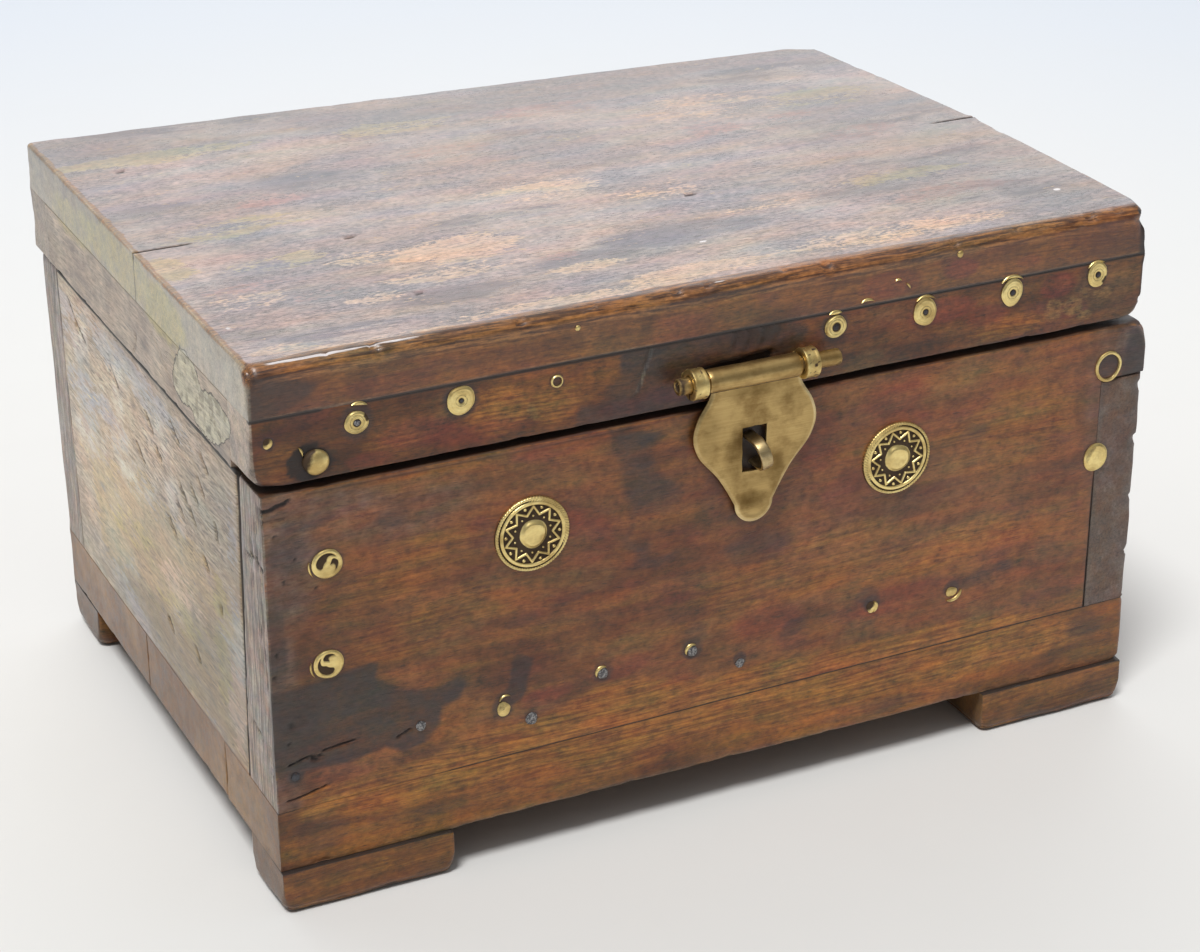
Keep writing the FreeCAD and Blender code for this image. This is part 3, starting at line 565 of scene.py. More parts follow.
def brass(name, shift, brush=(14, 3, 0.5), bright=BRASS_BRIGHT, middle=BRASS, dull=BRASS_DULL, polish=0.34):
    """Old brass with brush marks; the masks patina and tarnish darken it and rubbed brightens it, with rubbed
    edges and a painted highlight.
    """
    s = Shader(name)
    marks = s.noise(brush, shift, 4, 0.6)
    cloud = s.noise((12, 12, 9), shift + 4, 5, 0.62)
    speck = s.noise((0.9, 0.9, 0.9), shift + 9, 3, 0.6)
    colour = s.mix(s.step(marks, 0.25, 0.75, 0.15, 0.85), middle, bright)
    colour = s.mix(s.step(cloud, 0.40, 0.72, 0.0, 0.8), colour, dull)
    colour = s.mix(s.step(speck, 0.6, 0.78) * 0.35, colour, dull)
    colour = s.mix(s.mask("tarnish") * s.step(cloud, 0.3, 0.6, 0.7, 1.0), colour, TARNISH)
    colour = s.mix(s.mask("rubbed") * s.step(cloud, 0.3, 0.7, 1.0, 0.4), colour, RUBBED_AND_HIGHLIT)
    patina = s.step(s.mask("patina") + (speck - 0.5) * 0.5, 0.2, 0.8)
    colour = s.mix(patina, colour, PATINA)
    roughness = s.math("ADD", s.step(cloud, 0.3, 0.7) * 0.14 + polish, patina * 0.25, clamp=True)
    normal = s.bump(marks * 0.5 + speck * 0.5, 0.07, 0.6)
    return s.finish(colour, roughness, normal, metallic=1.0 - patina * 0.7)


def iron(name, shift):
    """Dark old iron with a little rust."""
    s = Shader(name)
    cloud = s.noise((5, 5, 5), shift, 5, 0.65)
    speck = s.noise((0.8, 0.8, 0.8), shift + 5, 4, 0.65)
    colour = s.mix(s.step(cloud, 0.4, 0.65), IRON_PALE, IRON_DARK)
    colour = s.mix(s.step(speck, 0.55, 0.7) * 0.6, colour, RUST)
    roughness = s.step(speck, 0.3, 0.7, 0.38, 0.62)
    return s.finish(colour, roughness, s.bump(cloud + speck, 0.12, 0.7), metallic=0.8)


def bright_iron(name, shift):
    """A worn nail head, rubbed to a light grey."""
    s = Shader(name)
    speck = s.noise((0.7, 0.7, 0.7), shift, 4, 0.65)
    colour = s.mix(s.step(speck, 0.42, 0.62), NAIL_DARK, NAIL_PALE)
    roughness = s.step(speck, 0.3, 0.7, 0.32, 0.55)
    return s.finish(colour, roughness, s.bump(speck, 0.1, 0.6), metallic=0.85)


WOOD_X = wood("stained_wood", X, 0.0)
WOOD_RAIL = wood("rail_wood", X, 31.0, STAINED_LID, side=SIDE_RAIL_AND_SHEEN, busy=1.7)
WOOD_LID = wood("lid_wood", X, 31.0, STAINED_LID, FADED_AND_SHEEN_TOP, tints=TOP_TINTS, gloss=0.34, coat=0.45, busy=1.5,
                lumpy=0.5, hue=0.5, spread=1.8)
WOOD_SIDE = wood("side_wood", Y, 57.0, side=SIDE_RAIL_AND_SHEEN, gloss=0.44, busy=1.5, lumpy=0.35, hue=0.3,
                 strokes=0.04, long=3.5, spread=1.6)
WOOD_BASE = wood("base_wood", X, 83.0, STAINED_BASE, side=SIDE_BASE, hue=0.55, ruddy=0.15)
BRASS_PLATE = brass("hasp_brass", 2.0)
BRASS_TRIM = brass("trim_brass", 17.0, (2.5, 2.5, 1.2),
                   *tones((252, 231, 162), (237, 209, 137), (180, 148, 90)),
                   0.32)
BRASS_SILVERY = brass("staple_brass", 41.0, (3, 3, 1.0),
                      *tones((220, 198, 152), (178, 154, 108), (116, 94, 60)),
                      0.32)
IRON = iron("old_iron", 5.0)
IRON_BRIGHT = bright_iron("rubbed_iron", 9.0)


# Marks on the front, seen from the front: x and z
HALO_NAILS = (
    (-132.3, 171.5, 8.5), (-97.2, 172.2, 8.5), (38.4, 172.7, 7.5), (73.2, 171.9, 7.5), (108, 172.9, 7.5),
    (143.1, 173.5, 7), (-63.9, 172.4, 4), (-161.4, 170, 3.5), (-144.1, 125.3, 8.5), (-145.1, 89.7, 8),
    (150.9, 137.4, 7.5), (148.3, 102.7, 7.5), (-73.3, 120.5, 15.5), (64.4, 119.6, 15), (-84.4, 57.8, 6),
    (-47.7, 62.4, 6), (-13.7, 62.7, 6), (57.4, 63.2, 5), (90.5, 60.7, 5), (4.9, 53.6, 4), (-158.1, 51.2, 4),
    (-114.1, 59, 5), (-74.3, 51.7, 4))
HASP_STAIN = (
    (-44.7, 151.1), (-37.5, 151.1), (-26.5, 148.2), (-25.7, 144.5), (-30.1, 141.1), (-27.1, 133.9),
    (-16.6, 124.5), (-15.8, 118.8), (-22.5, 116.5), (-34.4, 117.2), (-37.3, 110.5), (-30.6, 107.2),
    (-26.8, 100.8), (-18.6, 102.7), (-17.8, 100.3), (-26.8, 97), (-36.5, 98.5), (-37.3, 104.6),
    (-42.5, 109.8), (-37.3, 114.2), (-40.3, 125.8), (-41.8, 133.4), (-43.2, 139.1), (-46.9, 143.4))
LOW_STAIN = (
    (-166, 84), (-155.4, 83.1), (-138.2, 85.4), (-130.6, 86.5), (-127.9, 85.5), (-128.8, 80.2),
    (-121.3, 74.6), (-107.3, 71.1), (-99.4, 75.2), (-96.6, 70.7), (-99.6, 65.5), (-105.7, 63.2),
    (-107.7, 56.2), (-113.2, 51.9), (-120.3, 50), (-127.3, 54.4), (-139.6, 51.2), (-156.8, 53.2),
    (-166.6, 53.8))
SMEAR = ((-80.3, 77.6), (-73.1, 74), (-76.9, 59.8), (-84.3, 54), (-87.4, 62.4), (-82.3, 64.9))
WARM_BAND = (
    (-157.4, 36.5), (-115.4, 30.8), (-41.6, 30.5), (41.2, 28.4), (129.9, 26), (149.3, 28.5), (148.4, 39.1),
    (94.7, 46.5), (40.8, 47.4), (12.6, 49.3), (-10.9, 47.2), (-34.1, 56.1), (-49.2, 56.7), (-64.1, 52.7),
    (-78.9, 50.7), (-100.7, 50.6), (-111.6, 45.8), (-129.4, 44.7), (-157.1, 44.5))
FRONT_MARKS = {
    "stain": (
        (10, 96, 15, 9, 0.5, -8), (-6, 124, 5, 14, 0.42, -25), (-77, 89, 8, 3, 0.5, 12),
        (-56, 94, 16, 2.5, 0.42, 14), (55, 67, 6, 3.5, 0.6, 10), (26, 61, 7, 4, 0.55, 15),
        (-13, 67, 6, 6, 0.5), (-47, 66, 5, 4, 0.45), (100, 62, 10, 3.5, 0.5, 8), (112, 65, 5, 3, 0.5),
        (162, 136, 6, 16, 0.75), (-157, 132, 8, 9, 0.5), (-150, 141, 12, 4, 0.46, 6),
        (-162, 100, 4, 24, 0.5), (-120, 138, 9, 5, 0.44, 20), (96, 122, 8, 4, 0.45)),
    "red": (
        (-63, 122, 12, 9, 0.6), (-53, 112, 12, 12, 0.5), (34, 132, 10, 14, 0.62), (46, 110, 14, 10, 0.5),
        (-69, 58, 12, 4, 0.7, 6), (-42, 62, 14, 5, 0.6), (16, 66, 16, 8, 0.6), (66, 62, 34, 7, 0.6, 2),
        (-62, 150, 22, 6, 0.45), (62, 143, 16, 10, 0.55), (130, 62, 14, 8, 0.5), (-20, 88, 12, 8, 0.42)),
    "warm": (
        (-120, 118, 34, 14, 0.45, 12), (-110, 96, 40, 12, 0.45, 10), (30, 84, 50, 14, 0.5, 6),
        (110, 120, 36, 18, 0.45, 4), (90, 78, 44, 10, 0.5, 3), (-125, 144, 30, 6, 0.45, 6)),
    "dark": (
        (-140, 100, 22, 20, 0.3), (-158, 80, 10, 60, 0.4), (-20, 120, 60, 30, 0.12), (-90, 75, 22, 8, 0.2),
        (158, 145, 10, 12, 0.35)),
    "light": (
        (80, 100, 70, 40, 0.16), (110, 140, 40, 14, 0.14)),
    "dust": (
        (-158, 130, 12, 26, 0.7), (-146, 145, 26, 6, 0.6), (-162, 70, 7, 60, 0.45), (164, 142, 12, 14, 0.9),
        (-120, 138, 30, 10, 0.35), (150, 120, 8, 40, 0.35), (60, 96, 60, 20, 0.12)),
}
FRONT_SHAPES = (("stain", HASP_STAIN, 4.0, 0.62), ("stain", LOW_STAIN, 2.5, 0.95), ("stain", SMEAR, 1.8, 0.8),
                ("warm", WARM_BAND, 4.0, 0.95))
# Each crack has its places, width and depth, and how dark it is if not wholly
FRONT_CRACKS = (
    (((-160.1, 55.5), (-153.2, 57.4), (-150.5, 55.2), (-148.0, 58.3), (-137.6, 59.3)), 0.6, 0.9, 0.8),
    (((-161.5, 42.4), (-157.3, 42.8), (-147.5, 45.0)), 0.6, 0.9, 0.8),
    (((-122.6, 56.2), (-117.6, 58.3)), 0.6, 0.9, 0.8),
    (((-166.5, 147.6), (-163, 147.0), (-158.5, 148.2), (-155.5, 149.2)), 1.2, 1.6),
    (((-166.5, 143.5), (-161, 144.2), (-157, 143.4)), 1.0, 0.7, 0.5),
    (((-150, 150.2), (-120, 150.6), (-80, 150.0), (-30, 150.4)), 0.9, 0.5, 0.5))
FRONT_END_CRACKS = ((((-98.0, 126.0), (-107.0, 128.5), (-116.0, 126.0)), 0.8, 0.8),
                    (((-97.0, 63.5), (-106.0, 61.5)), 0.7, 0.5, 0.7))
FRONT_END_STRIPS = (-113.5, -109.0, -104.0)
FINE_CRACK_ROWS = np.arange(41.5, 60.0, 0.55)
FINGER_ROWS = (FINGER_BOTTOM - 0.15, FINGER_BOTTOM + 0.15)
FRONT_PITS = (
    (-158.4, 69.9, 1.6), (-162.1, 96.3, 1), (-163.2, 88.6, 0.9), (-159.7, 63.2, 0.9), (-151.5, 56.3, 1.2),
    (-154.5, 129, 0.9), (-158.6, 121.5, 1.1), (-160.5, 138, 0.8), (-148, 117.5, 0.7))


def base_slope(points, board):
    """Tilts a board's lower end along the base's sloping top."""
    low, high = board.low[Z], board.high[Z]
    along = (points[:, X] - front_low[X]) / (front_high[X] - front_low[X])
    lift = BASE_TOP_LEFT + (BASE_TOP_RIGHT - BASE_TOP_LEFT) * along - low
    points[:, Z] += lift * np.clip((high - points[:, Z]) / (high - low), 0, 1)
    return points


def front_thickness(z):
    share = (z - BASE_TOP_LEFT) / (RIM - BASE_TOP_LEFT)
    return FRONT_THICKNESS_BASE + (FRONT_THICKNESS_RIM - FRONT_THICKNESS_BASE) * share


def halos(board, on_face):
    """Dark polished rings round the nails."""
    for nail_x, nail_z, reach in HALO_NAILS:
        away = np.hypot(board.rest[:, X] - nail_x, board.rest[:, Z] - nail_z)
        board.paint("stain", 0.72 * ease(away, reach, reach * 0.5) * on_face)


def shade_gap(board, end, reach):
    """Dirt and painted shade on a board's edge in the gap between the rim and the lid."""
    board.paint("grime_and_shade", 0.5 * board.near(Z, end, reach))
    board.paint("dark", 0.4 * board.near(Z, end, reach))


def end_splits(board):
    """Splits that wave down the front board's left end."""
    for number, strip_y in enumerate(FRONT_END_STRIPS):
        wave = [(strip_y + 1.2 * math.sin(2.1 * k + 2 * number), 148 - 12 * k) for k in range(9 - 2 * number)]
        board.crack(X, 0, wave, 0.7, 0.5, 0.65)


SEAM_GAP = 0.05
XZ, YZ = [X, Z], [Y, Z]


def front_board():
    rows = (*FINE_CRACK_ROWS, *FINGER_ROWS)
    board = Board(front_low, front_high, (1.3, 2.0, 1.15), ((SEAM_X - 0.5, SEAM_X), (), rows))
    x, y, z = board.rest.T
    face, back, left_end = board.near(Y, 0), board.high[Y] - y, board.near(X, 0)
    board.wear_edges(11, 1.1, 0.6, 0.45, 1.4, ((Z, 0),))
    board.sharpen(CRISP, 1 - 0.6 * board.near(X, 0, 5))
    board.round_off(4.5, np.maximum(board.high[X] - x, board.high[Z] - z), 11, 2)
    board.warp(12, 0.3)
    board.round_off(1.5 * ease(z, 50, 120) * left_end, back, 5, 0)
    board.shapes(XZ, face, FRONT_SHAPES)
    board.marks(XZ, face, FRONT_MARKS)
    halos(board, face)
    for pit_x, pit_z, reach in FRONT_PITS:
        pit = ease(np.hypot(x - pit_x, z - pit_z), reach * 1.5, reach * 0.4) * face
        board.press(0.8 * pit)
        board.paint("grime_and_shade", 0.7 * pit)
    board.cracks(Y, 0, FRONT_CRACKS)
    end_splits(board)
    board.cracks(X, 0, FRONT_END_CRACKS)
    seam = ease(np.abs(x - SEAM_X), 0.9, 0.2) * (z < FINGER_BOTTOM) * face * (0.12 + 0.8 * ease(z, 100, 86))
    seam = np.maximum(seam, 0.7 * ease(np.abs(z - FINGER_BOTTOM), 0.8, 0.2) * (x > SEAM_X) * face)
    board.press(0.3 * seam)
    board.paint("grime_and_shade", seam)
    board.paint("end", 0.97 * board.near(X, 0, 1.5))
    higher = ease(z, 60, 130)
    crevice = ease(back + 0.5 * noise(board.rest, (8, 8, 9), 15, 2), 1.1 + 1.9 * higher, 0.5 + 0.8 * higher)
    board.paint("grime_and_shade", crevice * left_end)
    board.press(1.2 * crevice * left_end)
    board.paint("grime_and_shade", 0.9 * ease(z - board.low[Z], 0.5, 0.05) * face * ease(x, -112, -98))
    # Painted shade: the board seen through the hasp's slot is painted near black
    slot = np.hypot((x - PLATE_MIDDLE - SLOT_SHIFT) / 6.5, (z - PIN_Z + SLOT_DROP) / 9.5)
    board.paint("grime_and_shade", 0.9 * ease(slot, 1.2, 0.8) * face)
    board.paint("raw", board.near(Y, 1) * 0.95)
    board.paint("raw", 0.7 * ease(y, board.low[Y] + 3, board.low[Y] + 6) * board.near(Z, 1, 2))
    shade_gap(board, 1, 0.25)
    rubbed = ease(board.high[Z] - z, 1.7, 0.5) * ease(noise(board.rest, (14, 9, 9), 16, 2), -0.3, 0.3)
    board.paint("wear", 0.5 * rubbed * face)
    points = board.finished()
    depth = (points[:, Y] - FRONT_FACE) * front_thickness(points[:, Z]) / FRONT_THICKNESS_BASE
    points[:, Y] = FRONT_FACE + depth
    below = z < FINGER_BOTTOM
    points[below, X] = np.minimum(points[below, X], SEAM_X - SEAM_GAP)
    board.piece("front_board", "body", "body_wood", WOOD_X, base_slope(points, board))


RIGHT_NOTCHES = ((126.9, 2.0), (106.1, 2.4), (83.0, 1.2), (61.0, 1.4))


def right_side_board():
    board = Board(right_low, right_high, (1.5, 2.4, 1.6), ((), (), FINGER_ROWS))
    x, _, z = board.rest.T
    from_edge = board.high[X] - x
    board.hold = ease(from_edge, 1, 6)
    board.wear_edges(21, 1.4, 0.7, 0.4, 2.0, ((Z, 0), (X, 0)))
    board.warp(22, 0.4, (30, 80, 12))
    front = board.near(Y, 0)
    for notch_z, depth in RIGHT_NOTCHES:
        board.press(depth * ease(np.abs(z - notch_z), 1.8, 0.2) * ease(from_edge, 5, 0) * front)
    board.press(0.7 * (1 + noise(board.rest, (8, 8, 14), 23, 2)) * ease(from_edge, 4, 0) * front)
    board.paint("dust", 0.95 * front)
    board.paint("dark", (0.1 + 0.3 * ease(x, board.high[X] - 8, board.high[X] - 1)) * front)
    board.paint("grime_and_shade", 0.6 * ease(x - board.low[X], 0.9, 0.1) * front * ease(z, 100, 86))
    halos(board, front)
    board.paint("raw", 0.95 * board.near(X, 0))
    points = board.finished()
    above = z > FINGER_BOTTOM
    inner = FRONT_FACE + front_thickness(points[:, Z]) + SEAM_GAP
    points[above, Y] = np.maximum(points[above, Y], inner[above])
    points[~above, Z] = np.minimum(points[~above, Z], FINGER_BOTTOM - SEAM_GAP)
    lean_back(points, board)
    board.piece("right_side_board", "body", "body_wood", WOOD_SIDE, base_slope(points, board))


def lean_back(points, board):
    """Brings a side board's back edge along the back board's lean."""
    share = (points[:, Y] - board.low[Y]) / (board.high[Y] - board.low[Y])
    fall = (RIM - points[:, Z]) / (RIM - BASE_TOP_LEFT)
    points[:, Y] -= BACK_LEAN * np.clip(share, 0, 1) * fall


SIDE_YELLOW = (
    (80, 86), (40, 96), (0, 104), (-40, 104), (-80, 100), (-94, 80), (-92, 40), (-60, 40), (-20, 42),
    (20, 46), (70, 54))
SIDE_MARKS = {
    "green": (
        (-74, 80, 10, 26, 0.55), (-20, 66, 44, 8, 0.5, -10), (-72, 60, 6, 4, 1), (30, 78, 30, 8, 0.45, -8)),
    "slate": (
        (96, 136, 16, 12, 0.6), (-52, 42, 12, 3, 0.8), (20, 142, 70, 8, 0.6), (-88, 112, 6, 30, 0.5),
        (60, 110, 50, 14, 0.42)),
    "dark": (
        (-72, 60, 44, 32, 0.45), (-84, 110, 22, 40, 0.28), (-10, 50, 80, 14, 0.5, -4),
        (-60, 122, 26, 18, 0.16), (104, 90, 12, 60, 0.2), (70, 130, 8, 20, 0.3, 60)),
    "light": (
        (70, 110, 60, 50, 0.4), (10, 128, 60, 20, 0.24)),
    "peach": (
        (-86, 66, 14, 22, 0.7), (-30, 78, 30, 10, 0.5, -6)),
    "pitted": ((-40, 122, 60, 28, 1.0), (60, 135, 40, 14, 0.7), (-30, 70, 60, 20, 0.5)),
}
SIDE_PORES = (
    ((-27.7, 142.4), (-36, 137.5)), ((-55.2, 133), (-61, 128.5)), ((-8.8, 125.6), (-14.5, 122.5)),
    ((-34.7, 121.8), (-41, 118.2)), ((-44.8, 116.9), (-50.5, 113)), ((-71.4, 122.5), (-73.5, 117)),
    ((-29.9, 114.1), (-36.4, 110.5)), ((-73.4, 93.6), (-74.4, 90.5)), ((-42.9, 62), (-46.5, 59)),
    ((41.1, 136.9), (33, 131)), ((91.6, 144.7), (82, 138), (72.2, 133.6)), ((13.3, 117.1), (6, 112.6)),
    ((-11.1, 60), (-16, 57)), ((-58, 104), (-62, 101)), ((-20, 103), (-27, 99)), ((-60, 143), (-66, 139)),
    ((-48, 126), (-53, 122.6)), ((0, 134), (-7, 130)))




def left_side_board():
    board = Board(left_low, left_high, (3.0, 1.5, 1.3))
    _, y, z = board.rest.T
    side, from_front = board.near(X, 0), y - board.low[Y]
    board.wear_edges(31, 1.0, 0.7, 0.25, 1.5, ((Z, 0), (Y, 1)))
    board.round_off(1.6 * ease(z, 50, 120), from_front, 5, 0)
    board.warp(32, 0.4, (30, 70, 14))
    # The left side's pale faded colour is partly a painted sheen
    board.paint("faded_and_sheen", side)
    board.shapes(YZ, side, (("sallow", SIDE_YELLOW, 14.0, 0.85),))
    board.marks(YZ, side, SIDE_MARKS)
    board.paint("grime_and_shade", ease(from_front, 1.4 * ease(z, 60, 130) + 0.5, 0.2) * side)
    # Dirt and painted shade along the top edge, in the gap under the lid
    board.paint("grime_and_shade", ease(board.high[Z] - z + 0.5 * noise(board.rest, (9, 9, 9), 35, 2), 1.9, 1.0) * side)
    board.paint("wear", 0.75 * ease(z - board.low[Z], 1.3, 0.4) * side * ease(y, 20, -10))
    board.paint("raw", 0.95 * board.near(X, 1))
    for places in SIDE_PORES:
        board.crack(X, 0, places, 1.1, 0.9)
    points = board.finished()
    share = np.clip((board.high[Y] - points[:, Y]) / (board.high[Y] - board.low[Y]), 0, 1)
    points[:, Y] += (front_thickness(points[:, Z]) - FRONT_THICKNESS_RIM + SEAM_GAP) * share
    lean_back(points, board)
    board.piece("left_side_board", "body", "body_wood", WOOD_SIDE, base_slope(points, board))


BACK_WARMS = ((-80, 90, 60, 16, 0.6, 4), (70, 120, 70, 14, 0.55, -3), (20, 66, 80, 10, 0.5, 2))


def back_board():
    low, high = span("back_board")
    low[Y] = high[Y] - BACK_BOARD_THICKNESS
    board = Board(low, high, (2.4, 4.0, 2.2))
    board.wear_edges(41, 1.2, 0.6, 0.3, 1.6, ((Z, 0),))
    board.warp(42, 0.4)
    board.paint("raw", 0.95 * board.near(Y, 0))
    board.paint("dust", 0.4 * board.near(Y, 1))
    board.marks(XZ, board.near(Y, 1), {"warm": BACK_WARMS})
    board.paint("end", 0.97 * board.near(X, 0, 1.5))
    points = board.finished()
    points[:, Y] -= BACK_LEAN * (RIM - points[:, Z]) / (RIM - BASE_TOP_LEFT)
    board.piece("back_board", "body", "body_wood", WOOD_X, base_slope(points, board))


BASE_MARKS = {
    "stain": ((-150, 30, 12, 10, 0.5), (-120, 27, 22, 4, 0.45), (60, 22, 30, 4, 0.45), (150, 34, 10, 8, 0.5)),
    "warm": ((-60, 28, 50, 8, 0.56), (60, 26, 60, 7, 0.56)),
}
BASE_JOINT_GAP = 0.1
INSIDE_BOX = 18
foot_inner_left = span("foot_front_left")[1][X]
foot_inner_right = span("foot_front_right")[0][X]


def base_front_marks(board, seed):
    """Seams against the boards above and the feet below, and the chipped lower edge between the feet."""
    x, y, z = board.rest.T
    face, above_base = board.near(Y, 0), z - board.low[Z]
    between_feet = ease(x, foot_inner_left, foot_inner_left + 4)
    between_feet = between_feet * ease(x, foot_inner_right, foot_inner_right - 4)
    loose = np.maximum(np.maximum(between_feet, ease(above_base, 5, 9)), 1 - board.hold)
    board.radius = board.radius - 0.2
    board.sharpen(CRISP, loose)
    chips = ease(noise(board.rest, (9, 9, 6), seed + 4, 2), 0.1, 0.6)
    board.press(0.35 * chips * ease(np.maximum(above_base, y - board.low[Y]), 5, 1) * between_feet)
    board.shapes(XZ, face, (("warm", WARM_BAND, 4.0, 0.9),))
    board.marks(XZ, face, BASE_MARKS)
    shut = ease(x, -160, -156) * ease(x, -104, -110)
    board.paint("grime_and_shade", 0.95 * ease(board.high[Z] - z, 0.55, 0.1) * face * (1 - 0.7 * shut))
    board.paint("grime_and_shade", 0.8 * ease(above_base, 0.5, 0.1) * face * (1 - between_feet))


def base_plank(name, seed, step):
    low, high = span(name)
    high[Z] = BASE_TOP_RIGHT
    low[Y] += BASE_JOINT_GAP
    high[Y] -= BASE_JOINT_GAP
    board = Board(low, high, (step, 2.0, 1.2))
    x, y, _ = board.rest.T
    board.hold = ease(high[X] - x, 1, 6)
    board.wear_edges(seed, 0.9, 0.7, 0.4, 1.4, ((Z, 1),))
    board.round_off(1.6, high[X] - x, 7, 1)
    board.warp(seed + 3, 0.3)
    if name == "base_front_plank":
        base_front_marks(board, seed)
    joints = np.maximum(ease(y - low[Y], 0.9, 0.1), ease(high[Y] - y, 0.9, 0.1))
    board.paint("side", 0.97 * board.near(X, 0, 0.6))
    board.paint("grime_and_shade", 0.4 * joints * board.near(X, 0))
    board.paint("raw", 0.9 * board.near(Z, 1) * (board.edge > INSIDE_BOX))
    board.paint("raw", 0.6 * board.near(Z, 0))
    points = board.finished()
    along = (points[:, X] - low[X]) / (high[X] - low[X])
    share = (points[:, Z] - low[Z]) / (high[Z] - low[Z])
    points[:, Z] -= (BASE_TOP_RIGHT - BASE_TOP_LEFT) * (1 - along) * np.clip(share, 0, 1)
    board.piece(name, "body", "base_wood", WOOD_BASE, points)


def foot(name, seed):
    board = Board(*span(name), (1.3, 1.5, 1.0))
    x, _, z = board.rest.T
    board.hold = ease(board.high[X] - x, 1, 6)
    board.wear_edges(seed, 1.3, 0.8, 0.5, 1.8, ((Z, 1),))
    lower = ease(z - board.low[Z], 9, 1)
    board.radius = board.radius + 3.0 * lower
    board.warp(seed + 3, 0.5, (20, 20, 9))
    board.dent = board.dent * (1 - board.near(Z, 0, 1.0))
    board.paint("wear", 0.5 * lower * ease(noise(board.rest, (14, 9, 5), seed + 5, 2), -0.4, 0.4))
    board.paint("grime_and_shade", 0.95 * ease(board.high[Z] - z, 0.65, 0.1))
    board.paint("dark", 0.3 + 0.2 * ease(z, 12, 2))
    board.paint("warm", 0.5 * board.near(Y, 0))
    board.paint("stain", 0.5 * lower * ease(noise(board.rest, (12, 9, 6), seed + 6, 2), 0.0, 0.5))
    board.paint("side", 0.9 * board.near(X, 0, 0.5))
    board.piece(name, "body", "base_wood", WOOD_BASE)


RAIL_STAIN = (
    (-58.2, 159), (-56.1, 162.6), (-49, 162.2), (-47.5, 166), (-41.9, 169.9), (-41.9, 178.5), (-16.6, 178.5),
    (0.2, 180.9), (18.9, 179.5), (29.2, 174.4), (26.5, 168.7), (19.2, 166.3), (-8.2, 160.9), (-11.6, 153.6),
    (-41.8, 152.8), (-57.2, 153.4))
RAIL_RIGHT = (
    (136.1, 159.5), (133.8, 168.5), (136.1, 178.8), (164.9, 178.7), (164.9, 154.9), (150.8, 156.3))
RAIL_MARKS = {
    "red": (
        (-20, 161, 16, 5, 0.66), (22, 160, 12, 5, 0.6), (-40, 158, 10, 4, 0.55), (4, 171, 14, 3, 0.5),
        (80, 171, 16, 5, 0.9), (127, 172, 8, 5, 0.9), (98, 166, 10, 5, 0.6), (134, 162, 7, 4, 0.7),
        (-112, 164, 16, 6, 0.6), (-90, 160, 22, 4, 0.5), (60, 172, 8, 4, 0.5), (-128, 158, 10, 3, 0.6)),
    "ochre": (
        (126, 163, 5, 5, 0.5), (146, 166, 5, 3, 0.5), (139, 168, 3, 4, 0.45), (134, 163, 5, 4, 0.66),
        (139, 159, 4, 2, 0.6), (-72.5, 163.5, 2, 4, 0.5, 20)),
    "warm": (
        (-84, 166, 12, 10, 0.8), (-64, 165, 10, 10, 0.6), (-120, 162, 12, 6, 0.5), (-158, 162, 10, 8, 0.5),
        (108, 160, 20, 5, 0.5)),
    "dark": (
        (-150, 166, 26, 14, 0.45), (-118, 174, 20, 4, 0.4), (-100, 158, 40, 3, 0.3), (60, 160, 24, 6, 0.3),
        (0, 166, 50, 14, 0.3)),
}
KNOT_RIB_TURNS = 1.15
RECESS = ((-13, 160), (13.5, 160), (14.5, 168.6), (9, 168.2), (2, 167.4), (-6, 167.2), (-13.5, 166.2))


def lid_seam(board, away, width, face):
    """The dark joint between the front rail and the front plank, shut for a stretch near its left end."""
    shut = ease(np.abs(board.rest[:, X] + 138.5), 2.5, 6.5)
    board.paint("grime_and_shade", 0.95 * ease(away, width, 0.2) * face * shut)


RAIL_SHAPES = (("stain", RAIL_STAIN, 2.2, 0.66), ("stain", RAIL_RIGHT, 3.0, 0.44))
KNOT = ((-3, 171.5), (0, 178.5), (17, 179.5), (20, 174), (12, 170.5))
GOUGE = ((-34.9, 163.0), (-29.4, 178))


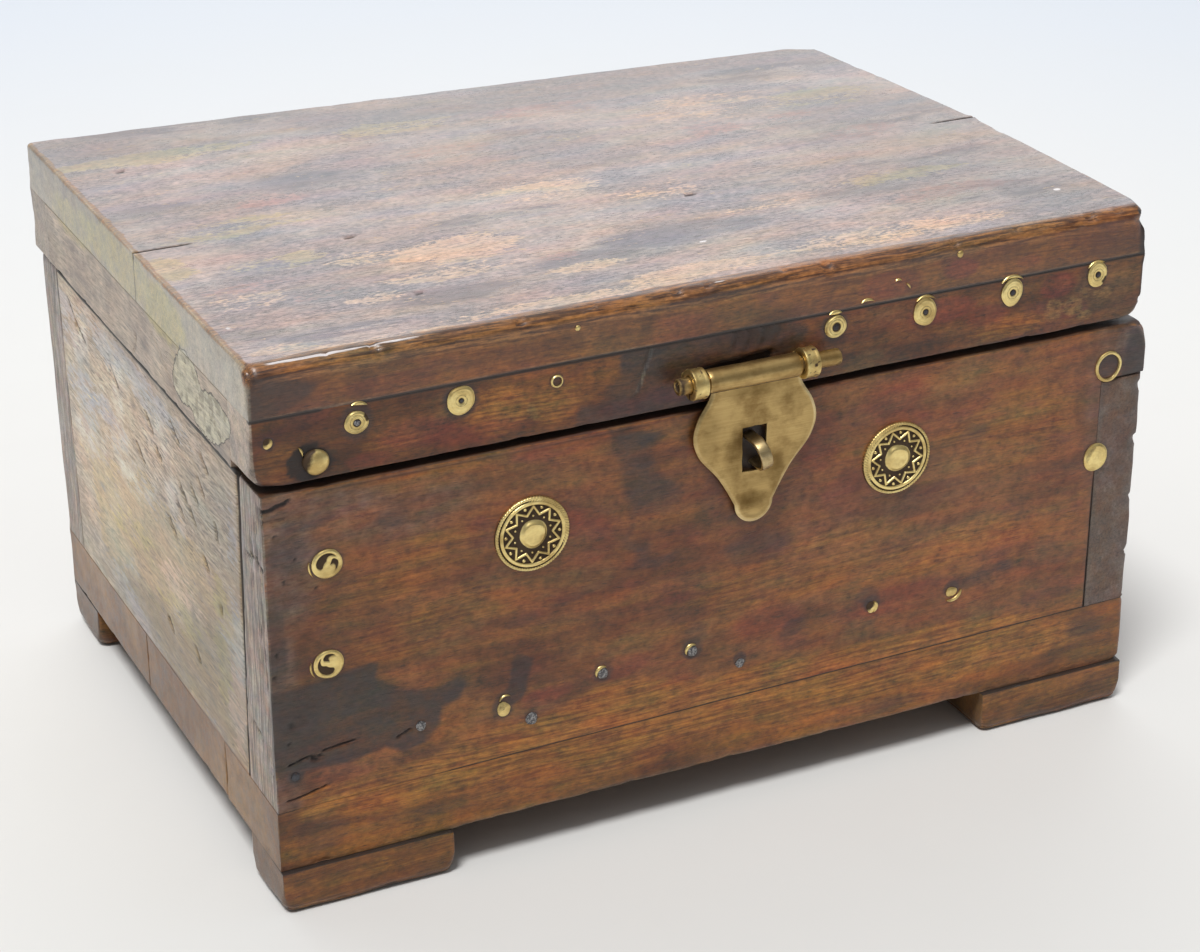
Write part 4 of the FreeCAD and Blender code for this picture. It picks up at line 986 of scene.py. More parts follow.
def lid_front_rail():
    board = Board(rail_low, rail_high, (1.1, 2.0, 0.9))
    x, _, z = board.rest.T
    face, left_end = board.near(Y, 0), board.near(X, 0, 1.5)
    above, from_left, from_right = z - board.low[Z], x - board.low[X], board.high[X] - x
    board.wear_edges(61, 1.0, 0.6, 0.35, 1.2, ((Z, 1), (Y, 1)))
    board.round_off(4.2, np.maximum(above, from_left), 12, 1)
    board.round_off(2.6, np.maximum(above, from_right), 9, 1)
    board.press(1.0 * ease(noise(board.rest, (9, 9, 5), 67, 2), 0.0, 0.5) * ease(from_right, 4, 0))
    board.warp(62, 0.3)
    board.shapes(XZ, face, RAIL_SHAPES)
    board.marks(XZ, face, RAIL_MARKS)
    halos(board, face)
    wax = np.hypot((x + 148.2) / 8.2, (z - 161.0) / 6.4) + 0.22 * noise(board.rest, (2.5, 9, 2.5), 68, 2)
    board.paint("grime_and_shade", 0.85 * ease(wax, 1.1, 0.8) * face)
    board.press(0.4 * ease(wax, 1.0, 0.6) * face)
    gouge = ease(line_distance(x, z, GOUGE), 1.6, 0.2) * face
    board.press(0.5 * gouge)
    board.paint("end", 0.8 * gouge)
    knot = inside(x, z, KNOT, 2.0) * face
    board.press(0.6 * knot * (0.5 + 0.5 * np.sin(x * KNOT_RIB_TURNS + 0.5 * np.sin(z))))
    board.paint("stain", 0.9 * knot)
    board.paint("grime_and_shade", 0.42 * knot)
    # The recess above the barrel is pressed in and painted black: dirt and painted shade
    ragged = 0.7 * noise(board.rest, (5, 9, 9), 66, 2)
    recess = inside(x, z + 0.5 * ragged, RECESS, 0.5) * face
    board.press(1.6 * recess)
    board.paint("grime_and_shade", recess)
    board.paint("warm", 0.8 * ease(np.abs(z - 169.9 - ragged), 1.1, 0.2) * ease(np.abs(x - 1), 15, 12) * face)
    lid_seam(board, board.high[Z] - z, 1.1, face)
    board.paint("side", 0.97 * left_end)
    board.shapes(YZ, left_end, CREAM_SHAPES)
    board.paint("raw", 0.95 * board.near(Y, 1))
    shade_gap(board, 0, 0.3)
    board.paint("grime_and_shade", 0.7 * board.near(X, 1, 3.0))
    board.piece("lid_front_rail", "lid", "lid_wood", WOOD_RAIL)


CREAM_PATCH = (
    (-52.7, 178.8), (-59.8, 178.6), (-67.2, 176.7), (-71.6, 171.2), (-83.4, 174.4), (-89.9, 173.3),
    (-99.8, 170.5), (-97.2, 164.6), (-86, 157.6), (-73.2, 155.4), (-64.9, 156.2), (-60.1, 160.1),
    (-50.7, 158.9), (-43, 160.5), (-41.4, 165.7), (-46.4, 173.3))
CREAM_SHAPES = (("cream", CREAM_PATCH, 3.5, 1.0),)
PATCH_HOLLOW = ((-74, 160), (-80, 163), (-79, 158), (-73, 157))
LEFT_RAIL_DARKS = ((105, 165, 20, 12, 0.35), (-92, 158, 10, 5, 0.2))
LEFT_RAIL_CRACKS = ((((-1.6, 167.5), (-2.8, 163.0), (1.4, 157.2)), 0.6, 0.4, 0.6),
                    (((-44, 160.0), (-30, 168.0), (-22, 173.0)), 0.5, 0.3, 0.45))


def patch_marks(board, side):
    """The peeled pale patch on the lid's left side, with a dark spot painted in it."""
    board.shapes(YZ, side, CREAM_SHAPES)
    board.shapes(YZ, board.near(X, 0), (("grime_and_shade", PATCH_HOLLOW, 0.8, 0.55),))


def lid_side_rail(name, seed, outside):
    board = Board(*span(name), (3.0, 1.3, 1.1))
    z = board.rest[:, Z]
    side = board.near(X, outside)
    board.wear_edges(seed, 0.9, 0.6, 0.3, 1.2, ((Z, 1), (Y, 0), (Y, 1), (X, 1 - outside)))
    board.warp(seed + 2, 0.25)
    if outside == 0:
        board.paint("side", side)
        patch_marks(board, side)
        board.marks(YZ, side, {"green": LID_GREENS, "dark": LEFT_RAIL_DARKS})
        board.cracks(X, 0, LEFT_RAIL_CRACKS)
    else:
        board.paint("dust", 0.4 * side)
    # Dirt and painted shade along the bottom edge, in the gap over the body
    board.paint("grime_and_shade", 0.9 * ease(z - board.low[Z], 0.9, 0.2) * side)
    board.paint("grime_and_shade", 0.55 * ease(board.high[Z] - z, 0.6, 0.1) * side)
    board.paint("raw", 0.95 * board.near(X, 1 - outside))
    board.piece(name, "lid", "lid_wood", WOOD_SIDE)


def lid_back_rail():
    board = Board(*span("lid_back_rail"), (2.2, 4.0, 2.0))
    board.wear_edges(71, 1.0, 0.6, 0.3, 1.4, ((Z, 1), (Y, 0)))
    board.warp(72, 0.4)
    for mask, strength, face in (("raw", 0.95, board.near(Y, 0)), ("dust", 0.4, board.near(Y, 1)),
                                 ("side", 0.97, board.near(X, 0, 1.5)),
                                 ("dark", 0.35, board.near(X, 0, 1.5))):
        board.paint(mask, strength * face)
    board.piece("lid_back_rail", "lid", "lid_wood", WOOD_RAIL)


# Marks on the lid's top: x and y
TOP_MARKS = {
    "peach": (
        (-69, -49, 26, 12, 0.8), (-19, -9, 24, 12, 0.5), (-79, -69, 27, 6, 0.55), (-5, -102, 28, 7, 0.8),
        (18, -28, 18, 9, 0.45), (-45, -108, 40, 5, 0.7), (69, -100, 49, 8, 0.6), (-36, -83, 15, 5, 0.6),
        (79, 57, 32, 23, 0.4), (-101, -44, 15, 7, 0.5), (-146, -64, 17, 7, 0.4), (-82, -107, 21, 4, 0.6),
        (42, -57, 16, 5, 0.4), (-123, -113, 37, 4, 0.6), (-110, -79, 12, 6, 0.6), (-152, -106, 10, 5, 0.6)),
    "slate": (
        (-84, -87, 25, 7, 0.75), (-34, -77, 21, 8, 0.65), (5, -69, 34, 10, 0.7), (-149, 31, 21, 6, 0.5),
        (-44, -26, 27, 8, 0.55), (-91, 38, 24, 12, 0.5), (-130, -100, 27, 5, 0.6), (-154, -92, 12, 5, 0.5),
        (81, -59, 25, 8, 0.5), (129, -82, 26, 11, 0.5), (139, 8, 28, 11, 0.45), (14, 11, 25, 8, 0.35),
        (-113, 118, 46, 8, 0.5), (125, 93, 39, 12, 0.5), (124, -37, 31, 10, 0.4), (2, 55, 13, 9, 0.35)),
    "sallow": (
        (-131, 86, 40, 8, 0.8), (-39, 82, 26, 10, 0.7), (-130, 2, 30, 11, 0.5), (-117, -34, 9, 6, 0.8),
        (-162, -26, 9, 12, 0.9), (102, -51, 30, 7, 0.55), (127, 48, 29, 14, 0.55), (-57, -42, 15, 6, 0.4),
        (-126, -36, 22, 9, 0.35)),
    "rose": (
        (-108, 23, 15, 8, 0.7), (22, 79, 27, 10, 0.45), (67, 26, 13, 11, 0.55), (101, 26, 11, 7, 0.7),
        (116, -1, 18, 8, 0.5), (110, -73, 30, 8, 0.55), (-124, -69, 13, 6, 0.5), (-145, -50, 17, 7, 0.4),
        (-41, -71, 9, 4, 0.5), (-30, 45, 25, 8, 0.3)),
    "dark": (
        (0, 112, 200, 34, 0.4), (20, 60, 120, 40, 0.2), (130, -20, 50, 90, 0.36), (-120, 108, 60, 26, 0.42),
        (-140, 10, 30, 40, 0.14), (90, 100, 90, 24, 0.3)),
}
LID_GREENS = (
    (10, 186, 60, 9, 0.72), (-34, 184, 26, 10, 0.95), (68, 182, 30, 8, 0.6), (-50, 172, 12, 8, 0.4))
EDGE_REDS = (
    (87, 185, 8, 4, 0.95), (-20, 182, 14, 6, 0.45), (60, 184, 14, 6, 0.6), (-120, 182, 20, 5, 0.5),
    (114, 183, 6, 3, 0.5))
EDGE_STAINS = (
    (-130, 184, 6, 5, 0.5), (-31, 188, 2.5, 9, 0.55, -18), (16, 180, 9, 3, 0.6), (150, 184, 16, 7, 0.6),
    (-62, 184, 10, 4, 0.4))
PLANK_LEFT = ((-168, 195.2), (-152, 191.2), (-142.7, 187.7), (-146.7, 182), (-159.7, 177.3), (-168, 176.5))


def top_marks(board):
    top, side = board.near(Z, 1, 3.0), board.near(X, 0, 2.0)
    # The top's pale faded colour is partly a painted sheen
    board.paint("faded_and_sheen", top)
    board.marks([X, Y], top, TOP_MARKS)
    board.paint("pitted", top * ease(board.rest[:, Y], 10, -70))
    board.paint("side", side)
    board.marks(YZ, side, {"green": LID_GREENS})
    patch_marks(board, side)
    board.paint("raw", 0.95 * board.near(Z, 0, 2.0))


def plank_joint(board, away):
    """Dirt along the joint of the two planks, which has opened at both ends."""
    x = board.rest[:, X]
    opened = ease(away, 0.8, 0.1) * (1 - ease(x, -152, -144) * ease(x, 152, 140)) * board.near(Z, 1)
    board.paint("grime_and_shade", 0.8 * opened)
    board.press(0.5 * opened)
    board.paint("grime_and_shade", 0.8 * ease(away, 0.7, 0.1) * board.near(X, 0, 2))


def left_edge(board, seed):
    """Bared brown wood along the left edge of the lid's top."""
    x, z = board.rest[:, X], board.rest[:, Z]
    width = 2.3 + 1.6 * noise(board.rest, (EVERYWHERE, 7, EVERYWHERE), seed, 3)
    band = ease(x - board.low[X], width + 0.8, width - 0.8) * ease(board.high[Z] - z, 2.0, 0.6)
    board.paint("raw", 0.6 * band)
    board.paint("warm", band)
    board.paint("ochre", 0.55 * band)
    board.masks["faded_and_sheen"] = board.masks["faded_and_sheen"] * (1 - 0.9 * band)


JOINT_RADIUS = 0.03




EVERYWHERE = 400
PLANK_SHAPES = (("stain", PLANK_LEFT, 3.0, 0.55), ("dark", PLANK_LEFT, 3.0, 0.6))
PLANK_CRACKS = ((((-97.5, -81.9), (-94.5, -81.3)), 1.1, 0.9), (((24.5, -36.5), (27.5, -36)), 1.1, 0.9),
                (((-98, -24.1), (-95.3, -23.6)), 1.1, 0.9))
PLANK_GLINT_SPOTS = ((-160.5, -82.9), (8.1, -79.8), (144.1, -88.6))


def lid_front_plank():
    board = Board(plank_low, plank_high, (1.2, 1.4, 1.0))
    x, y, z = board.rest.T
    face, top = board.near(Y, 0), board.near(Z, 1)
    from_front, from_joint, end = y - board.low[Y], board.high[Y] - y, board.high[X] - x
    board.wear_edges(81, 1.2, 0.6, 0.55, 2.2, ((Z, 0), (Y, 1)))
    arris = np.maximum(board.high[Z] - z, from_front)
    along = noise(board.rest, (16, EVERYWHERE, EVERYWHERE), 83, 3)
    board.round_off(3.0 + 1.6 * along, arris, 11, 1)
    board.press(0.8 * ease(noise(board.rest, (5, 6, 5), 84, 2), 0.15, 0.55) * ease(arris, 6, 1))
    chips = ease(noise(board.rest, (6, 5, 5), 85, 2), -0.1, 0.5)
    board.press(1.8 * chips * ease(end, 7, 0) * ease(arris, 16, 3))
    board.sharpen(JOINT_RADIUS, ease(from_joint, 0, 4))
    board.warp(86, 0.35)
    top_marks(board)
    band_width = 5.4 + 2.4 * noise(board.rest, (22, EVERYWHERE, EVERYWHERE), 89, 3)
    band = ease(board.high[Z] - z, 9.0, 3.0) * ease(from_front, band_width + 1.5, band_width - 1.0)
    board.paint("wear", (0.95 - 0.4 * ease(x, 60, 140)) * band)
    left_edge(board, 82)
    board.masks["faded_and_sheen"] = board.masks["faded_and_sheen"] * ease(from_front, band_width - 1.5, band_width + 1.5)
    board.shapes(XZ, face, PLANK_SHAPES)
    board.marks(XZ, face, {"red": EDGE_REDS})
    board.marks(XZ, 0.9 * face, {"dark": EDGE_STAINS})
    board.paint("warm", 0.4 * face)
    board.paint("dark", 0.3 * ease(x, 90, 160) * face)
    board.paint("grime_and_shade", 0.8 * ease(end, 5, 1) * face)
    # A painted highlight along stretches of the front arris
    bent = y + 114.6 + 0.8 * noise(board.rest, (9, EVERYWHERE, EVERYWHERE), 88, 2)
    stretches = np.maximum(0.62 * ease(x, -96, -118) * ease(x, -165, -156), 0.5 * ease(np.abs(x + 7), 8, 3))
    board.paint("glint", ease(np.abs(bent), 1.5, 0.4) * board.near(Z, 1, 3) * stretches)
    lid_seam(board, z - board.low[Z], 0.9, face)
    plank_joint(board, from_joint)
    board.cracks(Z, 1, PLANK_CRACKS)
    # Small painted highlights on the top
    for glint_x, glint_y in PLANK_GLINT_SPOTS:
        board.paint("glint", 0.9 * ease(np.hypot((x - glint_x) / 1.6, y - glint_y), 1.4, 0.5) * top)
    board.piece("lid_front_plank", "lid", "lid_wood", WOOD_LID, None, TOP_CREASE)


TOP_CREASE = 50
BACK_CORNER_FALL = 5.5
BACK_SHORTFALL = 4.0


def lid_back_plank():
    high = back_plank_high.copy()
    high[Z] = plank_high[Z]
    board = Board(back_plank_low, high, (1.8, 1.8, 1.6))
    from_joint = board.rest[:, Y] - board.low[Y]
    board.wear_edges(91, 1.3, 0.7, 0.5, 2.0, ((Z, 0), (Y, 0)))
    board.sharpen(JOINT_RADIUS, ease(from_joint, 0, 4))
    board.warp(86, 0.35)
    top_marks(board)
    plank_joint(board, from_joint)
    board.crack(Z, 1, ((-147.0, 76.2), (-144.9, 75.6)), 1.1, 0.9)
    left_edge(board, 92)
    points = board.finished()
    along, across, share = ((points - board.low) / (board.high - board.low)).T
    points[:, Z] -= np.maximum(across - (1 - along), 0) * BACK_CORNER_FALL * share
    points[:, Y] -= BACK_SHORTFALL * along * np.clip(across, 0, 1)
    points[:, Y] -= 5.0 * ease(points[:, X], board.high[X] - 14, board.high[X]) * ease(across, 0.9, 1.0)
    board.piece("lid_back_plank", "lid", "lid_wood", WOOD_LID, points, TOP_CREASE)


# Small metal pieces
SUNK = 0.6


def polar_piece(name, place, body, material, nodes, outline, rings, height, patina=None,
                spokes=56, u=ALONG_X, v=ALONG_Z, sharp=38):
    """A round relief lying on a face: height gives its rise over the face at (radius, angle)."""
    angle = np.linspace(0, 2 * math.pi, spokes, endpoint=False)
    rings = np.asarray(rings, float)
    radius = rings[:, None] * outline(angle)[None, :]
    theta = np.broadcast_to(angle, radius.shape)
    rise = height(radius, theta)
    radius = np.concatenate([radius, radius[-1:]])
    theta = np.concatenate([theta, theta[-1:]])
    rise = np.concatenate([rise, np.full((1, spokes), -SUNK)])
    out = np.array(u.cross(v))
    points = (np.array(place) + radius[..., None] * (np.cos(theta)[..., None] * np.array(u)
              + np.sin(theta)[..., None] * np.array(v)) + rise[..., None] * out)
    count = len(points)
    ids = np.arange(count * spokes).reshape(count, spokes)
    after = np.roll(ids, -1, axis=1)
    quads = np.stack([ids[:-1], ids[1:], after[1:], after[:-1]], axis=-1).reshape(-1, 4)
    faces = quads.tolist() + [ids[0].tolist(), ids[-1][::-1].tolist()]
    masks = {}
    if patina is not None:
        masks["patina"] = np.clip(patina(radius, theta), 0, 1).ravel()
    return make_piece(name, points.reshape(-1, 3), faces, body, material, nodes, masks, sharp)


def sheet_piece(name, front, back, body, material, nodes=(), keep=None, masks=None, sharp=40):
    """A closed solid between two grids of points; keep says which of the grid's cells are there."""
    rows, columns = front.shape[:2]
    ids = np.arange(rows * columns).reshape(rows, columns)
    keep = np.ones((rows - 1, columns - 1), bool) if keep is None else keep
    quads = np.stack([ids[:-1, :-1], ids[1:, :-1], ids[1:, 1:], ids[:-1, 1:]], axis=-1)[keep]
    total = rows * columns
    faces = quads.tolist() + (quads[:, ::-1] + total).tolist()
    edges = {}
    for a, b in np.concatenate([quads[:, [i, (i + 1) % 4]] for i in range(4)]).tolist():
        edges[(a, b)] = True
    for a, b in edges:
        if (b, a) not in edges:
            faces.append([b, a, a + total, b + total])
    points = np.concatenate([front.reshape(-1, 3), back.reshape(-1, 3)])
    used = np.unique(np.array([i for face in faces for i in face]))
    renumber = np.full(len(points), -1)
    renumber[used] = np.arange(len(used))
    faces = [[int(renumber[i]) for i in face] for face in faces]
    masks = {key: np.concatenate([value.ravel(), value.ravel()])[used]
             for key, value in (masks or {}).items()}
    return make_piece(name, points[used], faces, body, material, nodes, masks, sharp)


def turned_piece(name, profile, centre, body, material, nodes=(), spokes=48, bumps=0.0, seed=1,
                 closed=False, patina=None, sharp=40):
    """A piece turned about an axis along X; the profile has (x, radius) corners."""
    profile = np.array(profile, float)
    angle = np.linspace(0, 2 * math.pi, spokes, endpoint=False)
    x = np.broadcast_to(profile[:, :1], (len(profile), spokes))
    theta = np.broadcast_to(angle, x.shape)
    radius = np.broadcast_to(profile[:, 1:2], x.shape).copy()
    flat = np.stack([x.ravel(), (radius * np.cos(theta)).ravel(), (radius * np.sin(theta)).ravel()], axis=1)
    radius -= bumps * (1 + noise(flat, 2.5, seed, 2).reshape(radius.shape)) / 2
    points = np.stack([x, centre[0] - radius * np.cos(theta), centre[1] + radius * np.sin(theta)], axis=-1)
    ids = np.arange(len(profile) * spokes).reshape(len(profile), spokes)
    rows = np.concatenate([ids, ids[:1]]) if closed else ids
    after = np.roll(rows, -1, axis=1)
    faces = np.stack([rows[:-1], rows[1:], after[1:], after[:-1]], axis=-1).reshape(-1, 4).tolist()
    if not closed:
        faces += [ids[0].tolist(), ids[-1][::-1].tolist()]
    masks = {}
    if patina is not None:
        masks["patina"] = np.clip(patina(x, theta), 0, 1).ravel()
    return make_piece(name, points.reshape(-1, 3), faces, body, material, nodes, masks, sharp)


def swept_strip(name, path, side, width, thickness, body, material, nodes=(), taper=None):
    """A flat strip with rounded edges along a path; side is the direction of its width."""
    path = np.array(path, float)
    side = np.array(side, float)
    forward = np.gradient(path, axis=0)
    forward /= np.linalg.norm(forward, axis=1, keepdims=True)
    rise = np.cross(forward, side)
    rise /= np.linalg.norm(rise, axis=1, keepdims=True)
    angle = np.linspace(0, 2 * math.pi, 16, endpoint=False)
    def corner(value):
        return np.sign(value) * np.abs(value) ** 0.45
    taper = np.ones(len(path)) if taper is None else taper
    across = corner(np.cos(angle))[None, :, None] * (width / 2 * taper)[:, None, None] * side
    up = corner(np.sin(angle))[None, :, None] * thickness / 2 * rise[:, None, :]
    points = path[:, None, :] + across + up
    ids = np.arange(points.shape[0] * 16).reshape(-1, 16)
    after = np.roll(ids, -1, axis=1)
    faces = np.stack([ids[:-1], after[:-1], after[1:], ids[1:]], axis=-1).reshape(-1, 4).tolist()
    faces += [ids[0][::-1].tolist(), ids[-1].tolist()]
    return make_piece(name, points.reshape(-1, 3), faces, body, material, nodes, None, 50)


def circle(radius, seed=0, wobble=0.05, stretch=1.0, turn=0.0):
    """An uneven round outline; stretch is its height over its width."""
    rng = np.random.default_rng(seed)
    phases = rng.uniform(0, 2 * math.pi, 4)

    def outline(angle):
        base = radius / np.sqrt(np.cos(angle - turn) ** 2 + (np.sin(angle - turn) / stretch) ** 2)
        waves = sum(np.sin(k * angle + phases[k - 2]) / k for k in (2, 3, 4, 5))
        return base * (1 + wobble * waves)
    return outline


FINE_RINGS = np.concatenate([[0.03], np.linspace(0.08, 0.94, 16), [0.97, 0.99, 1.0]])


def dished(thickness, groove=0.0, hole=0.0):
    """A thin disc's height: rounded at the rim, with engraved rings and a dimple at the centre."""
    def height(r, theta):
        share = r / np.maximum(r[-1], 1e-6)
        rise = thickness * (1 - 0.75 * ease(share, 0.82, 1.0))
        rise = rise - groove * ease(np.cos(share * 26), 0.2, 1.0) * ease(share, 0.95, 0.8)
        return rise - hole * ease(r, 1.6, 0.6)
    return height


# Each disc: name, x, z, radius, height over width, radius of its nail, and whether the nail is rubbed bright
LID_DISCS = (("lid_disc_1", -132.3, 171.5, 3.9, 1.0, 1.0, True),
             ("lid_disc_2", -97.2, 172.2, 4.8, 1.0, 0.6, False),
             ("lid_disc_3", 38.4, 172.7, 4.0, 1.0, 1.3, False),
             ("lid_disc_4", 73.2, 171.9, 4.4, 1.16, 0.8, False),
             ("lid_disc_5", 108.0, 172.9, 4.2, 1.19, 0.9, False),
             ("lid_disc_6", 143.1, 173.5, 3.8, 1.3, 0.8, False))


def lid_discs():
    for number, (name, x, z, radius, stretch, eye, rubbed) in enumerate(LID_DISCS):
        def patina(r, theta, eye=eye, number=number):
            socket = ease(r, eye + 0.7, eye + 0.1) * 0.9
            ring = 0.55 * ease(np.abs(r - eye - 1.3), 0.3, 0.05)
            bite = 0.8 * ease(np.cos(theta - 0.4 - number * 2.3), 0.86, 0.97) * ease(r, 2.4, 3.2)
            return np.maximum.reduce([socket, ring, bite * (number in (0, 5))])
        polar_piece(name, (x, FRONT_FACE, z), "lid", BRASS_TRIM, ["lid_brass_discs"],
                    circle(radius, 30 + number, 0.05, stretch), FINE_RINGS, dished(0.7, 0.09, 0.25), patina)
        polar_piece(name + "_nail", (x, FRONT_FACE - 0.25, z), "lid", IRON_BRIGHT if rubbed else IRON,
                    ["lid_disc_nails"], circle(eye, 60 + number, 0.08), (0.1, 0.5, 0.8, 1.0),
                    lambda r, theta: 0.55 - 0.25 * (r / 1.2) ** 2, spokes=20)


def crescent(name, place, radius, start, end, width, body="lid", nodes=("lid_brass_discs",)):
    """A thin curved sliver of brass on the front."""
    count = 17
    angle = np.radians(np.linspace(start, end, count))
    half = width / 2 * np.sin(np.linspace(0.12, math.pi - 0.12, count)) ** 0.7
    across = np.array([-1.0, -0.7, 0.0, 0.7, 1.0])
    rise = np.array([0.05, 0.3, 0.45, 0.3, 0.05])
    r = radius + across[None, :] * half[:, None]
    front = np.stack([place[0] + r * np.cos(angle)[:, None], FRONT_FACE - np.broadcast_to(rise, r.shape),
                      place[1] + r * np.sin(angle)[:, None]], axis=-1)
    back = front.copy()
    back[..., 1] = FRONT_FACE + SUNK
    sheet_piece(name, front[:, ::-1], back[:, ::-1], body, BRASS_TRIM, nodes)


def lid_slivers():
    crescent("lid_crescent_1", (-132.0, 171.0), 6.8, 105, 60, 1.3)
    crescent("lid_crescent_3", (38.4, 168.0), 9.8, 105, 78, 1.6)
    crescent("lid_crescent_4", (73.2, 171.9), 5.6, 130, 50, 1.0)
    crescent("lid_crescent_5", (108.0, 172.4), 6.3, 135, 50, 1.2)
    crescent("lid_crescent_6", (143.1, 173.0), 5.3, 140, 60, 0.8)
    crescent("lid_sliver_a", (62.1, 183.0), 2.4, 120, 60, 0.9, nodes=["lid_brass_pins"])
    crescent("lid_sliver_b", (64.4, 181.2), 2.4, 70, 10, 0.8, nodes=["lid_brass_pins"])
    crescent("lid_sliver_c", (50.4, 176.0), 4.2, 125, 55, 1.1, nodes=["lid_brass_pins"])
    crescent("lid_wax_slit", (-154.0, 164.0), 3.6, 50, -5, 0.8, nodes=["lid_dome_nail"])


def small_head(name, x, z, radius, body, material, nodes, stretch=1.0, rise=0.5, seed=0, dark=0.0):
    """A low round nail head with an uneven outline."""
    return polar_piece(name, (x, FRONT_FACE, z), body, material, nodes,
                       circle(radius, seed, 0.1, stretch), (0.05, 0.3, 0.55, 0.75, 0.88, 0.96, 1.0),
                       lambda r, theta: rise * (1 - 0.85 * (r / np.maximum(r[-1], 1e-6)) ** 3),
                       lambda r, theta: dark * (0.5 + 0.5 * np.cos(theta - 2.2)) + 0 * r, spokes=28)


def lid_small_nails():
    small_head("lid_pin_1", -161.4, 170.0, 1.5, "lid", BRASS_TRIM, ["lid_brass_pins"], 1.2, 0.45,
               3, 0.9)
    small_head("lid_pin_3", -56.4, 189.2, 0.9, "lid", BRASS_TRIM, ["lid_brass_pins"], 1.0, 0.4, 4)
    small_head("lid_pin_4", 86.2, 190.4, 1.2, "lid", BRASS_TRIM, ["lid_brass_pins"], 1.0, 0.5, 5)
    ring_piece("lid_pin_2", (-63.9, 172.4), 2.2, 0.7, 1.0, "lid", ["lid_brass_pins"], 7)
    def dome(r, theta):
        share = r / np.maximum(r[-1], 1e-6)
        return 2.1 * np.sqrt(np.maximum(1 - share ** 2, 0)) + 0.05
    def tarnish(r, theta):
        return 0.8 * ease(r * np.cos(theta - 2.75), 0.4, 3.6) + 0.45 * ease(r, 3.4, 4.3)
    polar_piece("lid_dome_nail", (-146.1, FRONT_FACE, 160.8), "lid", BRASS_TRIM, ["lid_dome_nail"],
                circle(4.3, 8, 0.04), FINE_RINGS, dome, tarnish)


def ring_piece(name, place, radius, wall, stretch, body, nodes, seed, core=0.15):
    """A brass ring whose middle lies just under the face."""
    def height(r, theta):
        share = (r[-1] - r)
        return 0.55 * ease(share, wall, wall * 0.75) - core * ease(share, wall * 0.8, wall) \
            - 0.3 * ease(share, 0.3, 0.0)
    def dark(r, theta):
        return ease(r[-1] - r, wall * 0.7, wall * 1.02)
    inner = 1 - wall / radius
    rings = np.unique(np.concatenate([[0.03, 0.3 * inner, 0.7 * inner, 0.95 * inner],
                                      np.linspace(inner, 1, 9)]))
    polar_piece(name, (place[0], FRONT_FACE, place[1]), body, BRASS_TRIM, nodes,
                circle(radius, seed, 0.03, stretch), rings, height, dark)


def swirl_nails():
    """Two brass heads with a dark S-shaped hollow in each."""
    for number, (x, z, turn) in enumerate(((-144.1, 125.3, 0.2), (-145.1, 89.7, 1.9))):
        def dark(r, theta, turn=turn):
            curve = turn + 0.9 * np.sin(r * 0.8)
            arm = np.abs(np.sin(theta - curve)) * r
            return ease(arm, 0.55, 1.15) * ease(r, 4.0, 3.5) * ease(np.cos(theta - curve - 0.9), -0.9, -0.2)
        def height(r, theta, dark=dark):
            return 0.65 - 0.4 * dark(r, theta) - 0.4 * ease(r, 4.5, 5.1)
        polar_piece("swirl_nail_%d" % (number + 1), (x, FRONT_FACE, z), "body", BRASS_TRIM,
                    ["front_swirl_nails"], circle(5.1, 90 + number, 0.03),
                    np.linspace(0.03, 1, 26), height, dark, spokes=72)
        crescent("swirl_sliver_%d" % (number + 1), (x, z), 6.1, 215, 165, 0.7, "body", ["front_swirl_nails"])


def front_small_nails():
    ring_piece("front_ring", (150.9, 137.4), 5.4, 1.35, 1.09, "body", ["front_ring"], 12, core=0.55)
    polar_piece("front_corner_disc", (148.3, FRONT_FACE, 102.7), "body", BRASS_TRIM,
                ["front_corner_disc"], circle(5.0, 14, 0.03, 1.06), FINE_RINGS, dished(0.75, 0.05),
                lambda r, theta: 0.45 * ease(r * np.cos(theta - 2.6), 1.4, 3.0) * ease(r, 4.7, 4.2))
    brass_pins = (("front_pin_1", -84.4, 57.8, 2.4, 1.1, 0.5), ("front_pin_4", 57.0, 63.2, 1.8, 1.2, 1.0),
                  ("front_pin_5", 90.2, 61.8, 2.2, 0.85, 0.15))
    for seed, (name, x, z, radius, stretch, dark) in enumerate(brass_pins):
        small_head(name, x, z, radius, "body", BRASS_TRIM, ["front_brass_pins"], stretch, 0.6,
                   seed, dark)
    for name, x, z in (("front_pin_2", -47.7, 62.4), ("front_pin_3", -13.7, 62.7)):
        small_head(name, x, z, 1.9, "body", IRON_BRIGHT, ["front_brass_pins"], 1.0, 0.6, 21)
        crescent(name + "_crescent", (x, z), 2.5, 195, 65, 1.3, "body", ["front_brass_pins"])
    crescent("front_pin_1_crescent", (-83.4, 60.2), 2.6, 160, 60, 0.8, "body", ["front_brass_pins"])
    crescent("front_pin_4_crescent", (56.6, 63.2), 2.5, 55, -55, 1.5, "body", ["front_brass_pins"])
    crescent("front_pin_5_crescent", (90.3, 62.2), 3.9, -5, -120, 1.4, "body", ["front_brass_pins"])
    iron_nails = ((-74.3, 51.7, 2.2, True), (4.9, 53.6, 1.7, True), (-158.1, 51.2, 1.5, False),
                  (-114.1, 59.0, 1.8, True))
    for number, (x, z, radius, rubbed) in enumerate(iron_nails):
        small_head("front_iron_%d" % (number + 1), x, z, radius, "body",
                   IRON_BRIGHT if rubbed else IRON,
                   ["front_iron_nails"], 1.0, 0.5, 40 + number)


# Roundels
ROUNDEL_RADIUS = 13.25
STAR_POINTS = 10


